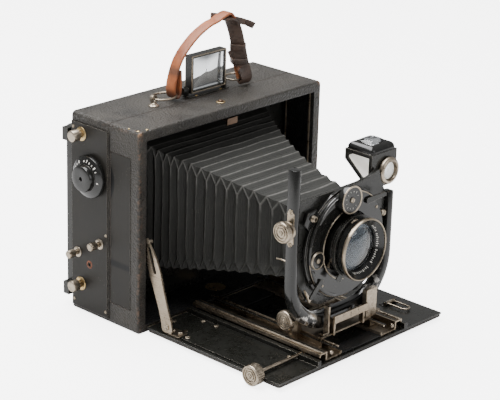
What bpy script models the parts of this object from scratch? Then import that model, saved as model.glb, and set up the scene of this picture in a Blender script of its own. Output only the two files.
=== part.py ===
"""Folding plate camera with a drop bed, a dial-set leaf shutter and a focal-plane shutter.

Frame: +X is the camera's right side seen from the front, -Y is where the lens looks, +Z is up.
The origin is on the underside, at the middle of the body. All dimensions below are in millimetres
and are turned into metres when a mesh is made.
"""

import math

import bmesh
import bpy
from mathutils import Vector

MM = 0.001
GAP = 0.3                      # clearance between pieces that touch on the real camera

# body
BODY_HALF_WIDTH = 93.2
BODY_HEIGHT = 150.0
FRONT_Y = -34.0
BACK_Y = 34.0
SEAM_Y = -4.0                  # where the wooden front box meets the focal-plane shutter housing
CORNER_RADIUS = 3.0
OPENING_HALF_WIDTH = 85.7
OPENING_TOP = 142.6
FLOOR_TOP = 6.0
BACK_WALL = 2.6
OPTICAL_Z = 77.0               # height of the lens axis

# plate aperture, 9 x 12 cm
APERTURE_HALF_WIDTH = 60.5
APERTURE_LOW = 34.0
APERTURE_HIGH = 124.0

# focal-plane shutter
ROLLER_RADIUS = 6.0
KNOB_AXIS = (12.6, 107.5)      # y, z
GEAR_MODULE = 1.5
WINDING_TEETH = 18
ROLLER_TEETH = 14
UPPER_ROLLER_AXIS = (12.6, KNOB_AXIS[1] + GEAR_MODULE * (WINDING_TEETH + ROLLER_TEETH) / 2.0)
LOWER_ROLLER_AXIS = (12.6, 20.0)

# drop bed
BED_HALF_WIDTH = 86.7
BED_FRONT_Y = -163.2
BED_BACK_Y = -37.2
BED_TOP = 5.5
GUIDE_INNER_X = 44.6
GUIDE_OUTER_X = 47.8
GUIDE_TOP = 9.4

# focusing drive
PINION_AXIS = (-144.6, 8.2)    # y, z
PINION_MODULE = 0.5
PINION_TEETH = 10
RACK_PITCH_Z = PINION_AXIS[1] + PINION_MODULE * PINION_TEETH / 2.0
CARRIAGE_TOP = 12.8

# front standard
FRAME_FRONT_Y = -141.5
FRAME_BACK_Y = -134.0
FRAME_HALF_WIDTH = 52.5
FRAME_ARM = 6.3
BOARD_FRONT_Y = -137.6
BOARD_BACK_Y = -134.9
SHUTTER_FACE_Y = -144.0
SHUTTER_RADIUS = 38.5
FINDER_PIVOT = (37.5, 117.0)                # x, z
FINDER_LENS = (51.8, 115.5)                 # x, z
SHIFT_AXIS = (-126.0, 26.0)                 # y, z

BLACK_PAINT = ((0.012, 0.012, 0.012), 0.35, 0.0)
BLACK_LEATHER = ((0.028, 0.027, 0.026), 0.6, 0.0)
BLACK_CLOTH = ((0.02, 0.02, 0.02), 0.85, 0.0)
NICKEL = ((0.62, 0.57, 0.50), 0.28, 1.0)
BRASS = ((0.55, 0.42, 0.22), 0.35, 1.0)
TAN_LEATHER = ((0.38, 0.14, 0.05), 0.55, 0.0)
GLASS = ((0.75, 0.80, 0.85), 0.05, 0.0)
FROSTED = ((0.70, 0.72, 0.72), 0.6, 0.0)

for old in list(bpy.data.objects):
    bpy.data.objects.remove(old)

materials = {}


def material(finish):
    """One material per finish, shared by the pieces that have it."""
    if finish not in materials:
        colour, roughness, metallic = finish
        made = bpy.data.materials.new("finish_%d" % len(materials))
        made.use_nodes = True
        shader = made.node_tree.nodes["Principled BSDF"]
        shader.inputs["Base Color"].default_value = (*colour, 1.0)
        shader.inputs["Roughness"].default_value = roughness
        shader.inputs["Metallic"].default_value = metallic
        made.diffuse_color = (*colour, 1.0)
        materials[finish] = made
    return materials[finish]


def place(axis, u, v, along):
    """A point from its two coordinates across an axis and one along it."""
    return {"x": (along, u, v), "y": (u, along, v), "z": (u, v, along)}[axis]


def circle(axis, centre, radius, along, count, knurl=0.0, phase=0.0):
    """A closed ring of points round an axis; knurl raises every other point."""
    points = []
    for index in range(count):
        angle = 2.0 * math.pi * index / count + phase
        reach = radius + (knurl if index % 2 else 0.0)
        u = centre[0] + reach * math.cos(angle)
        v = centre[1] + reach * math.sin(angle)
        points.append(place(axis, u, v, along))
    return points


def rounded_box(low_u, high_u, low_v, high_v, radius, steps=3):
    """A rectangle with round corners, as points in its own plane."""
    corners = (
        (high_u - radius, high_v - radius, 0.0),
        (low_u + radius, high_v - radius, 0.5 * math.pi),
        (low_u + radius, low_v + radius, math.pi),
        (high_u - radius, low_v + radius, 1.5 * math.pi),
    )
    points = []
    for centre_u, centre_v, start in corners:
        for step in range(steps + 1):
            angle = start + 0.5 * math.pi * step / steps
            points.append((centre_u + radius * math.cos(angle), centre_v + radius * math.sin(angle)))
    return points


def lift(axis, outline, along):
    """A flat outline as a ring of points at one place along an axis."""
    return [place(axis, u, v, along) for u, v in outline]


def make(name, loops, finish, ring=False, origin=(0.0, 0.0, 0.0), smooth=None):
    """A closed solid skinned over rings of points; ring joins the last one back to the first."""
    mesh_data = bmesh.new()
    rows = [[mesh_data.verts.new([(p - o) * MM for p, o in zip(point, origin)]) for point in loop]
            for loop in loops]
    count = len(rows[0])
    pairs = list(zip(rows, rows[1:]))
    if ring:
        pairs.append((rows[-1], rows[0]))
    else:
        mesh_data.faces.new(rows[0])
        mesh_data.faces.new(list(reversed(rows[-1])))
    for first, second in pairs:
        for index in range(count):
            after = (index + 1) % count
            mesh_data.faces.new((first[index], second[index], second[after], first[after]))
    bmesh.ops.recalc_face_normals(mesh_data, faces=mesh_data.faces)
    mesh = bpy.data.meshes.new(name)
    mesh_data.to_mesh(mesh)
    mesh_data.free()
    mesh.materials.append(material(finish))
    if smooth is not None:
        mesh.shade_smooth()
        mesh.set_sharp_from_angle(angle=math.radians(smooth))
    made = bpy.data.objects.new(name, mesh)
    made.location = [value * MM for value in origin]
    bpy.context.scene.collection.objects.link(made)
    return made


def prism(name, axis, outline, low, high, finish, **options):
    """A flat outline pushed along an axis."""
    return make(name, [lift(axis, outline, low), lift(axis, outline, high)], finish, **options)


def block(name, low, high, finish, radius=0.0, axis="z", **options):
    """A box between two corners, with its edges along one axis rounded."""
    order = {"x": (1, 2, 0), "y": (0, 2, 1), "z": (0, 1, 2)}[axis]
    u, v, along = order
    if radius:
        outline = rounded_box(low[u], high[u], low[v], high[v], radius)
    else:
        outline = [(low[u], low[v]), (high[u], low[v]), (high[u], high[v]), (low[u], high[v])]
    return prism(name, axis, outline, low[along], high[along], finish, **options)


def turned(name, axis, centre, profile, finish, count=20, knurl=(), **options):
    """A turned solid: the profile lists (radius, place along the axis)."""
    loops = []
    for index, (radius, along) in enumerate(profile):
        ridge = 0.25 if index in knurl else 0.0
        loops.append(circle(axis, centre, radius, along, count, ridge))
    options.setdefault("smooth", 35)
    return make(name, loops, finish, **options)


def framed(name, axis, outer, inner, low, high, finish, **options):
    """A frame: an outline with a hole, whose two outlines have the same number of points."""
    loops = [lift(axis, outer, low), lift(axis, outer, high), lift(axis, inner, high), lift(axis, inner, low)]
    return make(name, loops, finish, ring=True, **options)


def wire(name, points, radius, finish, sides=8, ring=False, **options):
    """A round wire bent along a list of points."""
    path = [Vector(point) for point in points]
    loops = []
    side = None
    for index, point in enumerate(path):
        before = path[index - 1] if (ring or index > 0) else point
        after = path[(index + 1) % len(path)] if (ring or index < len(path) - 1) else point
        along = (after - before).normalized()
        if side is None:
            side = along.orthogonal().normalized()
        side = (side - along * side.dot(along)).normalized()
        across = along.cross(side)
        loops.append([
            tuple(point + radius * (math.cos(turn) * side + math.sin(turn) * across))
            for turn in (2.0 * math.pi * step / sides for step in range(sides))
        ])
    return make(name, loops, finish, ring=ring, smooth=60, **options)


def tool(made):
    """Hides a shape that only cuts or joins another one."""
    made.hide_render = True
    made.display_type = "WIRE"
    return made


def combine(target, other, operation):
    """Joins or cuts one shape with another."""
    step = target.modifiers.new(operation.lower(), "BOOLEAN")
    step.operation = operation
    step.solver = "EXACT"
    step.object = tool(other)


def cut(target, other):
    combine(target, other, "DIFFERENCE")


def join(target, other):
    combine(target, other, "UNION")


def smooth_path(points, steps):
    """Points on a smooth curve through the given ones."""
    ends = [points[0]] + list(points) + [points[-1]]
    path = []
    for index in range(1, len(ends) - 2):
        p0, p1, p2, p3 = (Vector(ends[index + shift]) for shift in (-1, 0, 1, 2))
        for step in range(steps):
            t = step / steps
            path.append(0.5 * (2.0 * p1 + (p2 - p0) * t + (2.0 * p0 - 5.0 * p1 + 4.0 * p2 - p3) * t * t
                               + (3.0 * p1 - p0 - 3.0 * p2 + p3) * t ** 3))
    path.append(Vector(points[-1]))
    return path


def gear_outline(centre, teeth, module, phase):
    """A spur gear's outline, four points to a tooth, with backlash."""
    pitch = teeth * module / 2.0
    shape = ((-0.30, pitch - 1.1 * module), (-0.13, pitch + 0.85 * module),
             (0.13, pitch + 0.85 * module), (0.30, pitch - 1.1 * module))
    step = 2.0 * math.pi / teeth
    points = []
    for tooth in range(teeth):
        for offset, radius in shape:
            angle = phase + (tooth + offset) * step
            points.append((centre[0] + radius * math.cos(angle), centre[1] + radius * math.sin(angle)))
    return points


def flat_circle(centre, radius, count, phase=0.0):
    """A circle as an outline in its own plane."""
    return [(centre[0] + radius * math.cos(phase + 2.0 * math.pi * index / count),
             centre[1] + radius * math.sin(phase + 2.0 * math.pi * index / count)) for index in range(count)]


def gear(name, axis, centre, teeth, module, low, high, bore, phase, finish, **options):
    """A spur gear with a bore."""
    outer = gear_outline(centre, teeth, module, phase)
    start = phase - 0.30 * 2.0 * math.pi / teeth
    inner = flat_circle(centre, bore, len(outer), start)
    return framed(name, axis, outer, inner, low, high, finish, **options)


# ---- body ----------------------------------------------------------------------------------

def body_shell(name, low_y, high_y, inner_top, inner_half_width, is_front):
    """One length of the leather-covered box: the open front one, or the rear one with its back wall."""
    def outline(inset):
        return rounded_box(-BODY_HALF_WIDTH + inset, BODY_HALF_WIDTH - inset, inset, BODY_HEIGHT - inset,
                           CORNER_RADIUS, 4)
    inner = rounded_box(-inner_half_width, inner_half_width, FLOOR_TOP, inner_top, 1.0, 4)
    loops = [lift("y", inner, low_y)]
    if is_front:
        loops.append(lift("y", inner, high_y))
        loops.append(lift("y", outline(0.0), high_y))
        for back, inset in ((1.6, 0.0), (0.8, 0.2), (0.25, 0.7), (0.0, 1.5)):
            loops.append(lift("y", outline(inset), low_y + back))
    else:
        aperture = rounded_box(-APERTURE_HALF_WIDTH, APERTURE_HALF_WIDTH, APERTURE_LOW, APERTURE_HIGH,
                               1.0, 4)
        loops.append(lift("y", inner, high_y - BACK_WALL))
        loops.append(lift("y", aperture, high_y - BACK_WALL))
        loops.append(lift("y", aperture, high_y))
        loops.append(lift("y", outline(0.0), high_y))
        loops.append(lift("y", outline(0.0), low_y))
    return make(name, loops, BLACK_LEATHER, ring=True, smooth=40)


front_body = body_shell("front_body", FRONT_Y, SEAM_Y - 0.2, OPENING_TOP, OPENING_HALF_WIDTH, True)
housing = body_shell("shutter_housing", SEAM_Y + 0.2, BACK_Y, 144.0, 86.5, False)

PANEL = (-25.5, -5.5, 16.6, 130.0)          # y low, y high, z low, z high
cut(front_body,
    block("cut_panel", (-95.0, PANEL[0], PANEL[2]), (-92.2, PANEL[1], PANEL[3]), BLACK_LEATHER))
block("side_panel", (-93.0, PANEL[0] + GAP, PANEL[2] + GAP), (-92.5, PANEL[1] - GAP, PANEL[3] - GAP),
      BLACK_PAINT)

BUSH_CENTRE = (0.0, -19.0)
cut(front_body, turned("cut_bush", "z", BUSH_CENTRE, ((8.3, -1.0), (8.3, 7.0)), BLACK_LEATHER))
bush_cup = turned("tripod_bush", "z", BUSH_CENTRE, ((8.0, 0.2), (8.0, 5.8)), BRASS)
cut(bush_cup, turned("cut_bush_bore", "z", BUSH_CENTRE, ((4.8, -1.0), (4.8, 5.0)), BRASS))

side_plate = block("side_plate", (-94.2, SEAM_Y + 0.6, 4.0), (-93.5, BACK_Y - 0.4, 143.5), BLACK_PAINT)
PINS = {                                    # y, z, head radius, stem radius
    "back_catch_upper": (23.4, 135.8, 4.2, 2.0),
    "back_catch_lower": (24.4, 22.3, 4.2, 2.0),
    "release_pin": (27.6, 46.0, 3.0, 1.5),
    "time_pin": (4.7, 58.3, 3.0, 1.5),
}
PLAIN_HOLE = (15.3, 39.5, 1.6)


def side_hole(name, centre, radius):
    """A hole through the side plate and the housing wall behind it."""
    cutter = turned(name, "x", centre, ((radius, -96.0), (radius, -84.0)), BLACK_PAINT, count=16)
    cut(side_plate, cutter)
    cut(housing, cutter)


side_hole("cut_winding", KNOB_AXIS, 2.4)
for pin_name, (y, z, head, stem) in PINS.items():
    side_hole("cut_" + pin_name, (y, z), stem + 0.4)
    turned(pin_name, "x", (y, z),
           ((stem, -88.5), (stem, -97.6), (head, -97.6), (head, -103.2), (head - 0.6, -103.8)),
           NICKEL, count=14, origin=(-94.2, y, z))
cut(side_plate, turned("cut_plain", "x", PLAIN_HOLE[:2], ((PLAIN_HOLE[2], -96.0), (PLAIN_HOLE[2], -93.3)),
                       BLACK_PAINT, count=12))

framed("shutter_front_frame", "y", rounded_box(-86.2, 86.2, 6.3, 143.7, 1.2, 2),
       rounded_box(-APERTURE_HALF_WIDTH, APERTURE_HALF_WIDTH, APERTURE_LOW, APERTURE_HIGH, 1.0, 2),
       -3.6, -2.8, BLACK_PAINT)

# ---- focal-plane shutter ---------------------------------------------------------------------

SHAFT_RADIUS = 2.0
turned("winding_knob", "x", KNOB_AXIS,
       ((SHAFT_RADIUS, -81.0), (SHAFT_RADIUS, -94.6), (15.5, -94.6), (15.5, -98.2), (14.2, -100.2),
        (9.6, -100.2), (9.6, -104.4), (9.0, -105.0)),
       BLACK_PAINT, count=28, origin=(-94.6, *KNOB_AXIS))
gear("winding_gear", "x", KNOB_AXIS, WINDING_TEETH, GEAR_MODULE, -85.4, -82.4, SHAFT_RADIUS + GAP,
     0.5 * math.pi, BRASS, origin=(-84.0, *KNOB_AXIS))
gear("roller_gear", "x", UPPER_ROLLER_AXIS, ROLLER_TEETH, GEAR_MODULE, -85.0, -82.8, SHAFT_RADIUS + GAP,
     -0.5 * math.pi + math.pi / ROLLER_TEETH, BRASS, origin=(-84.0, *UPPER_ROLLER_AXIS))
ROLLER_STUB = 86.2
ROLLER_HALF_LENGTH = 78.0
for roller_name, axis_point in (("upper_roller", UPPER_ROLLER_AXIS), ("lower_roller", LOWER_ROLLER_AXIS)):
    turned(roller_name, "x", axis_point,
           ((SHAFT_RADIUS, -ROLLER_STUB), (SHAFT_RADIUS, -ROLLER_HALF_LENGTH),
            (ROLLER_RADIUS, -ROLLER_HALF_LENGTH), (ROLLER_RADIUS, ROLLER_HALF_LENGTH),
            (SHAFT_RADIUS, ROLLER_HALF_LENGTH), (SHAFT_RADIUS, ROLLER_STUB)),
           NICKEL, count=20, origin=(0.0, *axis_point))

CURTAIN_Y = UPPER_ROLLER_AXIS[0] + ROLLER_RADIUS + 0.5
SLIT = (96.0, 104.0)                        # z of the exposure slit's edges
framed("focal_curtain", "y", rounded_box(-66.0, 66.0, LOWER_ROLLER_AXIS[1], UPPER_ROLLER_AXIS[1], 0.5, 1),
       rounded_box(-APERTURE_HALF_WIDTH, APERTURE_HALF_WIDTH, *SLIT, 0.5, 1), CURTAIN_Y, CURTAIN_Y + 0.5,
       BLACK_CLOTH)

# ---- back ------------------------------------------------------------------------------------

back_frame = framed("back_frame", "y", rounded_box(-88.0, 88.0, 12.0, 136.0, 2.0, 2),
                    rounded_box(-APERTURE_HALF_WIDTH, APERTURE_HALF_WIDTH, APERTURE_LOW, APERTURE_HIGH, 1.0,
                                2),
                    BACK_Y + 0.4, 46.0, BLACK_PAINT)
GLASS_EDGE = 2.5
GLASS_HALF_WIDTH = APERTURE_HALF_WIDTH + GLASS_EDGE
GLASS_LOW = APERTURE_LOW - GLASS_EDGE
GLASS_HIGH = APERTURE_HIGH + GLASS_EDGE
cut(back_frame, block("cut_glass_seat", (-GLASS_HALF_WIDTH - GAP, 38.0, GLASS_LOW - GAP),
                      (GLASS_HALF_WIDTH + GAP, 48.0, GLASS_HIGH + GAP), BLACK_PAINT))
for lug_name, lug_z in (("lug_upper", 132.0), ("lug_lower", 14.0)):
    join(back_frame, block(lug_name, (-92.4, 40.0, lug_z - 6.0), (-87.0, 45.5, lug_z + 3.5), BLACK_PAINT))
block("ground_glass", (-GLASS_HALF_WIDTH, 38.3, GLASS_LOW), (GLASS_HALF_WIDTH, 40.3, GLASS_HIGH), FROSTED)

# ---- top: bed latch, handle and direct sight ---------------------------------------------------

LATCH = (-0.7, -21.0)
cut(front_body, turned("cut_latch", "z", LATCH, ((2.3, 140.0), (2.3, 152.0)), BLACK_LEATHER, count=16))
bed_latch = turned("bed_latch", "z", LATCH, ((1.9, 140.6), (1.9, 151.2), (1.4, 151.7)), NICKEL,
                   count=16, origin=(*LATCH, 150.0))
join(bed_latch, block("latch_hook", (-6.0, -33.4, 139.4), (4.0, -16.0, 141.2), NICKEL))
join(bed_latch, block("latch_nose", (-6.0, -33.4, 136.4), (4.0, -31.4, 140.0), NICKEL))

POST_X = {"left": -43.0, "right": 51.0}
HANDLE_Y = 4.0
EYE_Z = 155.0
RING_RADIUS = (10.0, 8.0)                   # along X, along Y
for side, post_x in POST_X.items():
    eye = framed("handle_post_" + side, "y", flat_circle((post_x, EYE_Z), 3.0, 20),
                 flat_circle((post_x, EYE_Z), 1.7, 20), HANDLE_Y - 0.8, HANDLE_Y + 0.8, NICKEL, smooth=40)
    join(eye, turned("post_foot_" + side, "z", (post_x, HANDLE_Y),
                     ((3.3, 150.3), (3.3, 151.0), (2.0, 151.8), (1.6, 152.8)), NICKEL, count=16))
    towards = 1.0 if side == "left" else -1.0
    ring_centre = post_x + towards * RING_RADIUS[0]
    wire("handle_ring_" + side,
         [(ring_centre + RING_RADIUS[0] * math.cos(turn), HANDLE_Y + RING_RADIUS[1] * math.sin(turn), EYE_Z)
          for turn in (2.0 * math.pi * step / 28 for step in range(28))],
         0.8, NICKEL, sides=8, ring=True, origin=(post_x, HANDLE_Y, EYE_Z))

STRAP_HALF_WIDTH = 4.6
STRAP_THICKNESS = 2.6
# middle line of the strap: x, y, z and how far its width has turned from Y towards X, in degrees
STRAP_LINE = ((-25.6, 4.0, 156.0, 0.0), (-25.4, 4.0, 166.0, 0.0), (-18.0, 4.0, 180.5, 0.0),
              (-4.0, 4.0, 193.0, 0.0), (12.0, 4.0, 199.8, 0.0), (26.0, 4.0, 201.6, 0.0),
              (35.4, 3.6, 197.0, 5.0), (39.6, 2.0, 186.0, 28.0), (41.0, -1.0, 170.0, 65.0),
              (41.0, -4.0, 156.4, 90.0))
strap_loops = []
strap_path = smooth_path([Vector(point) for point in STRAP_LINE], 4)
for index, point in enumerate(strap_path):
    before = strap_path[max(index - 1, 0)]
    after = strap_path[min(index + 1, len(strap_path) - 1)]
    along = (after - before).to_3d().normalized()
    turn = math.radians(point[3])
    across = Vector((math.sin(turn), math.cos(turn), 0.0))
    across = (across - along * across.dot(along)).normalized() * STRAP_HALF_WIDTH
    thick = along.cross(across).normalized() * STRAP_THICKNESS / 2.0
    middle = point.to_3d()
    strap_loops.append([tuple(middle + across * u + thick * v)
                        for u, v in ((1, 1), (-1, 1), (-1, -1), (1, -1))])
strap = make("handle_strap", strap_loops, TAN_LEATHER, origin=(4.0, HANDLE_Y, EYE_Z), smooth=50)
# the strap's two end loops, each round its ring: side, the wire's axis, its other two coordinates, its middle
STRAP_LOOPS = (
    ("left", "y", (-23.0, EYE_Z), HANDLE_Y),
    ("right", "x", (HANDLE_Y - RING_RADIUS[1], EYE_Z), 41.0),
)
for side, axis, centre, middle in STRAP_LOOPS:
    join(strap, turned("strap_loop_" + side, axis, centre, ((3.3, middle - 3.2), (3.3, middle + 3.2)),
                       TAN_LEATHER, count=16))
    cut(strap, turned("strap_eye_" + side, axis, centre, ((2.0, middle - 7.0), (2.0, middle + 7.0)),
                      TAN_LEATHER, count=12))
framed("handle_buckle", "y", [(16.5, 205.6), (44.0, 206.0), (44.6, 203.9), (16.5, 203.6)],
       [(18.0, 205.1), (42.6, 205.4), (42.8, 204.5), (18.0, 204.2)],
       HANDLE_Y - 7.4, HANDLE_Y + 7.4, BRASS, origin=(4.0, HANDLE_Y, EYE_Z))

SIGHT_X = (-9.2, 25.9)
SIGHT_Z = (152.6, 180.4)
SIGHT_Y = (0.2, 6.8)
SIGHT_AXIS = (3.5, 155.2)                   # y, z of the fold
SIGHT_WALL = 1.8


def sight_outline(inset):
    """The sight's square outline, moved in by a distance."""
    return [(SIGHT_X[0] + inset, SIGHT_Z[0] + inset), (SIGHT_X[1] - inset, SIGHT_Z[0] + inset),
            (SIGHT_X[1] - inset, SIGHT_Z[1] - inset), (SIGHT_X[0] + inset, SIGHT_Z[1] - inset)]


sight_frame = framed("sight_frame", "y", sight_outline(0.0), sight_outline(SIGHT_WALL), *SIGHT_Y, BLACK_PAINT,
                     origin=(8.0, *SIGHT_AXIS))
for pivot_name, low_x, high_x in (("pivot_left", -12.8, SIGHT_X[0] + 0.5),
                                  ("pivot_right", SIGHT_X[1] - 0.5, 28.4)):
    join(sight_frame, turned(pivot_name, "x", SIGHT_AXIS, ((1.2, low_x), (1.2, high_x)), BLACK_PAINT,
                             count=16))
join(sight_frame, turned("pivot_head", "x", SIGHT_AXIS, ((2.8, -15.6), (3.1, -14.8), (3.1, -12.7)),
                         BLACK_PAINT, count=20))
block("sight_lens", (SIGHT_X[0] + SIGHT_WALL + GAP, 2.4, SIGHT_Z[0] + SIGHT_WALL + GAP),
      (SIGHT_X[1] - SIGHT_WALL - GAP, 4.6, SIGHT_Z[1] - SIGHT_WALL - GAP), GLASS, origin=(8.0, *SIGHT_AXIS))
sight_base = block("sight_base", (-12.4, -1.5, 150.3), (28.0, 8.5, 150.8), BLACK_PAINT)
for lug_name, low_x in (("sight_lug_left", -12.4), ("sight_lug_right", 26.4)):
    lug = prism(lug_name, "x", rounded_box(1.2, 5.8, 150.5, 157.6, 1.8, 3), low_x, low_x + 1.4, BLACK_PAINT)
    join(sight_base, lug)
cut(sight_base, turned("cut_sight_pivot", "x", SIGHT_AXIS, ((1.5, -14.0), (1.5, 30.0)), BLACK_PAINT,
                       count=16))

# ---- drop bed ----------------------------------------------------------------------------------

def both_halves(half):
    """An outline that is the same to the left and the right, from the points of its right half."""
    return list(half) + [(-x, z) for x, z in reversed(half)]


BED_HALF = ((BED_HALF_WIDTH, 4.2), (BED_HALF_WIDTH, BED_TOP), (GUIDE_OUTER_X, BED_TOP),
            (GUIDE_OUTER_X, GUIDE_TOP), (GUIDE_INNER_X, GUIDE_TOP), (GUIDE_INNER_X, BED_TOP))
bed_plate = prism("bed_plate", "y", both_halves(BED_HALF), BED_FRONT_Y, BED_BACK_Y, BLACK_PAINT)
cut(bed_plate, block("cut_pinion_well", (-43.8, PINION_AXIS[0] - 4.0, 3.0),
                     (-37.6, PINION_AXIS[0] + 4.0, 5.9), BLACK_PAINT))
cut(bed_plate, turned("cut_pinion_shaft", "x", PINION_AXIS, ((1.6, -52.0), (1.6, -40.0)), BLACK_PAINT,
                      count=12))
cut(bed_plate, prism("cut_bed_slot", "z", rounded_box(-4.0, 14.0, -159.0, -153.6, 2.6, 3), 3.0, 7.0,
                     BLACK_PAINT))
block("bed_cover", (-BED_HALF_WIDTH, BED_FRONT_Y, 2.5), (BED_HALF_WIDTH, BED_BACK_Y, 3.9), BLACK_LEATHER,
      radius=2.0)
turned("bed_hinge_rod", "x", (-35.6, 4.0), ((1.2, -84.0), (1.2, 84.0)), NICKEL, count=12)
block("pinion_cover", (-84.0, -143.0, BED_TOP + GAP), (-GUIDE_OUTER_X - GAP, -68.0, BED_TOP + GAP + 0.9),
      BLACK_PAINT, radius=1.0)

STRUT_X = (83.6, 85.0)
STRUT_SIDE = ((-34.0, 71.4), (-38.2, 66.0), (-43.6, 58.5), (-47.5, 50.0), (-50.4, 38.9), (-54.6, 25.8),
              (-58.8, 15.0), (-60.0, 8.8), (-58.6, 6.2), (-51.4, 6.2), (-50.0, 8.0), (-48.6, 14.5),
              (-46.8, 20.8), (-42.6, 31.6), (-38.5, 41.2), (-33.6, 54.1), (-30.6, 62.0), (-30.2, 70.0))
STRUT_SLOT = ((-36.4, 64.0), (-42.0, 48.6))
for side, sign in (("left", -1.0), ("right", 1.0)):
    faces = sorted((sign * STRUT_X[0], sign * STRUT_X[1]))
    strut = prism("strut_" + side, "x", list(STRUT_SIDE), *faces, NICKEL)
    along = Vector(STRUT_SLOT[1]) - Vector(STRUT_SLOT[0])
    angle = math.atan2(along.y, along.x)
    slot = []
    for end, start in ((STRUT_SLOT[1], -0.5 * math.pi), (STRUT_SLOT[0], 0.5 * math.pi)):
        for step in range(5):
            turn = angle + start + math.pi * step / 4.0
            slot.append((end[0] + 1.5 * math.cos(turn), end[1] + 1.5 * math.sin(turn)))
    cut(strut, prism("cut_strut_" + side, "x", slot, faces[0] - 2.3, faces[1] + 2.3, NICKEL))
    foot = sorted((sign * 75.0, sign * 84.8))
    join(strut, prism("strut_foot_" + side, "z", rounded_box(*foot, -66.5, -52.5, 1.6, 3), BED_TOP + GAP, 6.8,
                      NICKEL))

LOOP_X = 71.0
LOOP_AXIS = (-128.0, 7.2)                   # y, z
LOOP_HALF_WIDTH = 3.6
LOOP_BEND_Y = -141.6
loop_points = [(LOOP_X - LOOP_HALF_WIDTH, LOOP_AXIS[0], LOOP_AXIS[1])]
for step in range(9):
    turn = math.pi + math.pi * step / 8.0
    loop_points.append((LOOP_X + LOOP_HALF_WIDTH * math.cos(turn),
                        LOOP_BEND_Y + LOOP_HALF_WIDTH * math.sin(turn), LOOP_AXIS[1]))
loop_points.append((LOOP_X + LOOP_HALF_WIDTH, LOOP_AXIS[0], LOOP_AXIS[1]))
wire_loop = wire("wire_loop", loop_points, 0.7, NICKEL, sides=8, origin=(LOOP_X, *LOOP_AXIS))
join(wire_loop, turned("loop_barrel", "x", LOOP_AXIS, ((1.3, LOOP_X - 6.0), (1.3, LOOP_X + 6.0)), NICKEL,
                       count=14))

# ---- focusing carriage ---------------------------------------------------------------------------

CARRIAGE_Y = (-161.0, -39.0)
RAIL_OUTLINE = ((43.8, 12.0), (43.8, CARRIAGE_TOP), (36.2, CARRIAGE_TOP), (36.2, 7.2), (22.2, 7.2),
                (22.2, 8.8), (21.0, 8.8), (21.0, 6.0), (37.4, 6.0), (37.4, 11.7), (42.9, 11.7), (42.9, 10.2),
                (43.8, 10.2))
carriage = prism("carriage", "y", [(-x, z) for x, z in RAIL_OUTLINE], *CARRIAGE_Y, NICKEL,
                 origin=(0.0, *PINION_AXIS))
join(carriage, prism("rail_right", "y", list(RAIL_OUTLINE), *CARRIAGE_Y, NICKEL))
for bar_name, low_y, high_y in (("bar_front", -161.0, -150.0), ("bar_rear", -60.0, -46.0)):
    join(carriage, block(bar_name, (-22.0, low_y, 6.2), (22.0, high_y, 7.0), BLACK_PAINT))
PITCH = math.pi * PINION_MODULE
rack = []
for tooth in range(-3, 26):
    middle = PINION_AXIS[0] + (tooth + 0.5) * PITCH
    rack += [(middle - 0.33 * PITCH, RACK_PITCH_Z + 0.58), (middle - 0.13 * PITCH, RACK_PITCH_Z - 0.36),
             (middle + 0.13 * PITCH, RACK_PITCH_Z - 0.36), (middle + 0.33 * PITCH, RACK_PITCH_Z + 0.58)]
rack += [(rack[-1][0], 12.2), (rack[0][0], 12.2)]
join(carriage, prism("rack", "x", rack, -42.2, -38.8, NICKEL))

turned("focus_knob", "x", PINION_AXIS,
       ((1.6, -88.2), (6.6, -88.2), (7.4, -88.8), (7.4, -94.8), (6.6, -95.6), (1.6, -95.6)),
       NICKEL, count=32, knurl=(2, 3), ring=True, origin=(-88.0, *PINION_AXIS))
focus_shaft = turned("focus_pinion", "x", PINION_AXIS, ((1.2, -95.2), (1.2, -38.2)), NICKEL, count=14,
                     origin=(-88.0, *PINION_AXIS))
pinion_outline = []
for tooth in range(PINION_TEETH):
    for offset, radius in ((-0.27, 2.5 - 0.62), (-0.11, 2.5 + 0.34), (0.11, 2.5 + 0.34), (0.27, 2.5 - 0.62)):
        turn = 0.5 * math.pi + (tooth + offset) * 2.0 * math.pi / PINION_TEETH
        pinion_outline.append((PINION_AXIS[0] + radius * math.cos(turn),
                               PINION_AXIS[1] + radius * math.sin(turn)))
join(focus_shaft, prism("pinion_teeth", "x", pinion_outline, -41.8, -39.2, NICKEL))

# ---- front standard ------------------------------------------------------------------------------

BASE_Y = (-147.0, -117.0)
BASE_HALF = ((26.9, 15.2), (26.9, 8.8), (35.2, 8.8), (35.2, 7.6), (25.7, 7.6), (25.7, 14.0))
standard_base = prism("standard_base", "y", both_halves(BASE_HALF), *BASE_Y, NICKEL,
                      origin=(0.0, -134.0, 14.0))
join(standard_base, block("bearing_left", (-31.0, SHIFT_AXIS[0] - 2.4, 8.6),
                          (-26.5, SHIFT_AXIS[0] + 2.4, 29.0), NICKEL))
cut(standard_base, turned("cut_shift_shaft", "x", SHIFT_AXIS, ((1.6, -34.0), (1.6, -24.0)), NICKEL, count=12))
join(standard_base, block("index_post_left", (-16.4, -149.2, 14.4), (-14.6, -145.4, 27.0), NICKEL))
join(standard_base, block("index_post_right", (14.6, -149.2, 14.4), (16.4, -145.4, 27.0), NICKEL))
join(standard_base, block("index_bar", (-17.0, -150.4, 23.6), (18.4, -148.8, 29.2), NICKEL))

prism("grip_left", "y",
      [(-18.2, 15.8), (-18.2, 36.0), (-19.8, 36.0), (-19.8, 17.2), (-25.0, 17.2), (-25.0, 15.8)],
      -147.0, -142.6, NICKEL, origin=(-19.0, -145.0, 16.0))
grip_right = block("grip_right", (20.0, -147.4, 15.6), (31.0, -143.4, 37.0), NICKEL,
                   origin=(25.0, -145.0, 16.0))
join(grip_right, block("grip_foot", (28.0, -144.6, 15.6), (38.5, -134.4, 17.0), NICKEL))
cut(grip_right, block("grip_recess", (30.4, -141.0, 16.2), (36.5, -136.6, 18.0), NICKEL))

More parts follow.
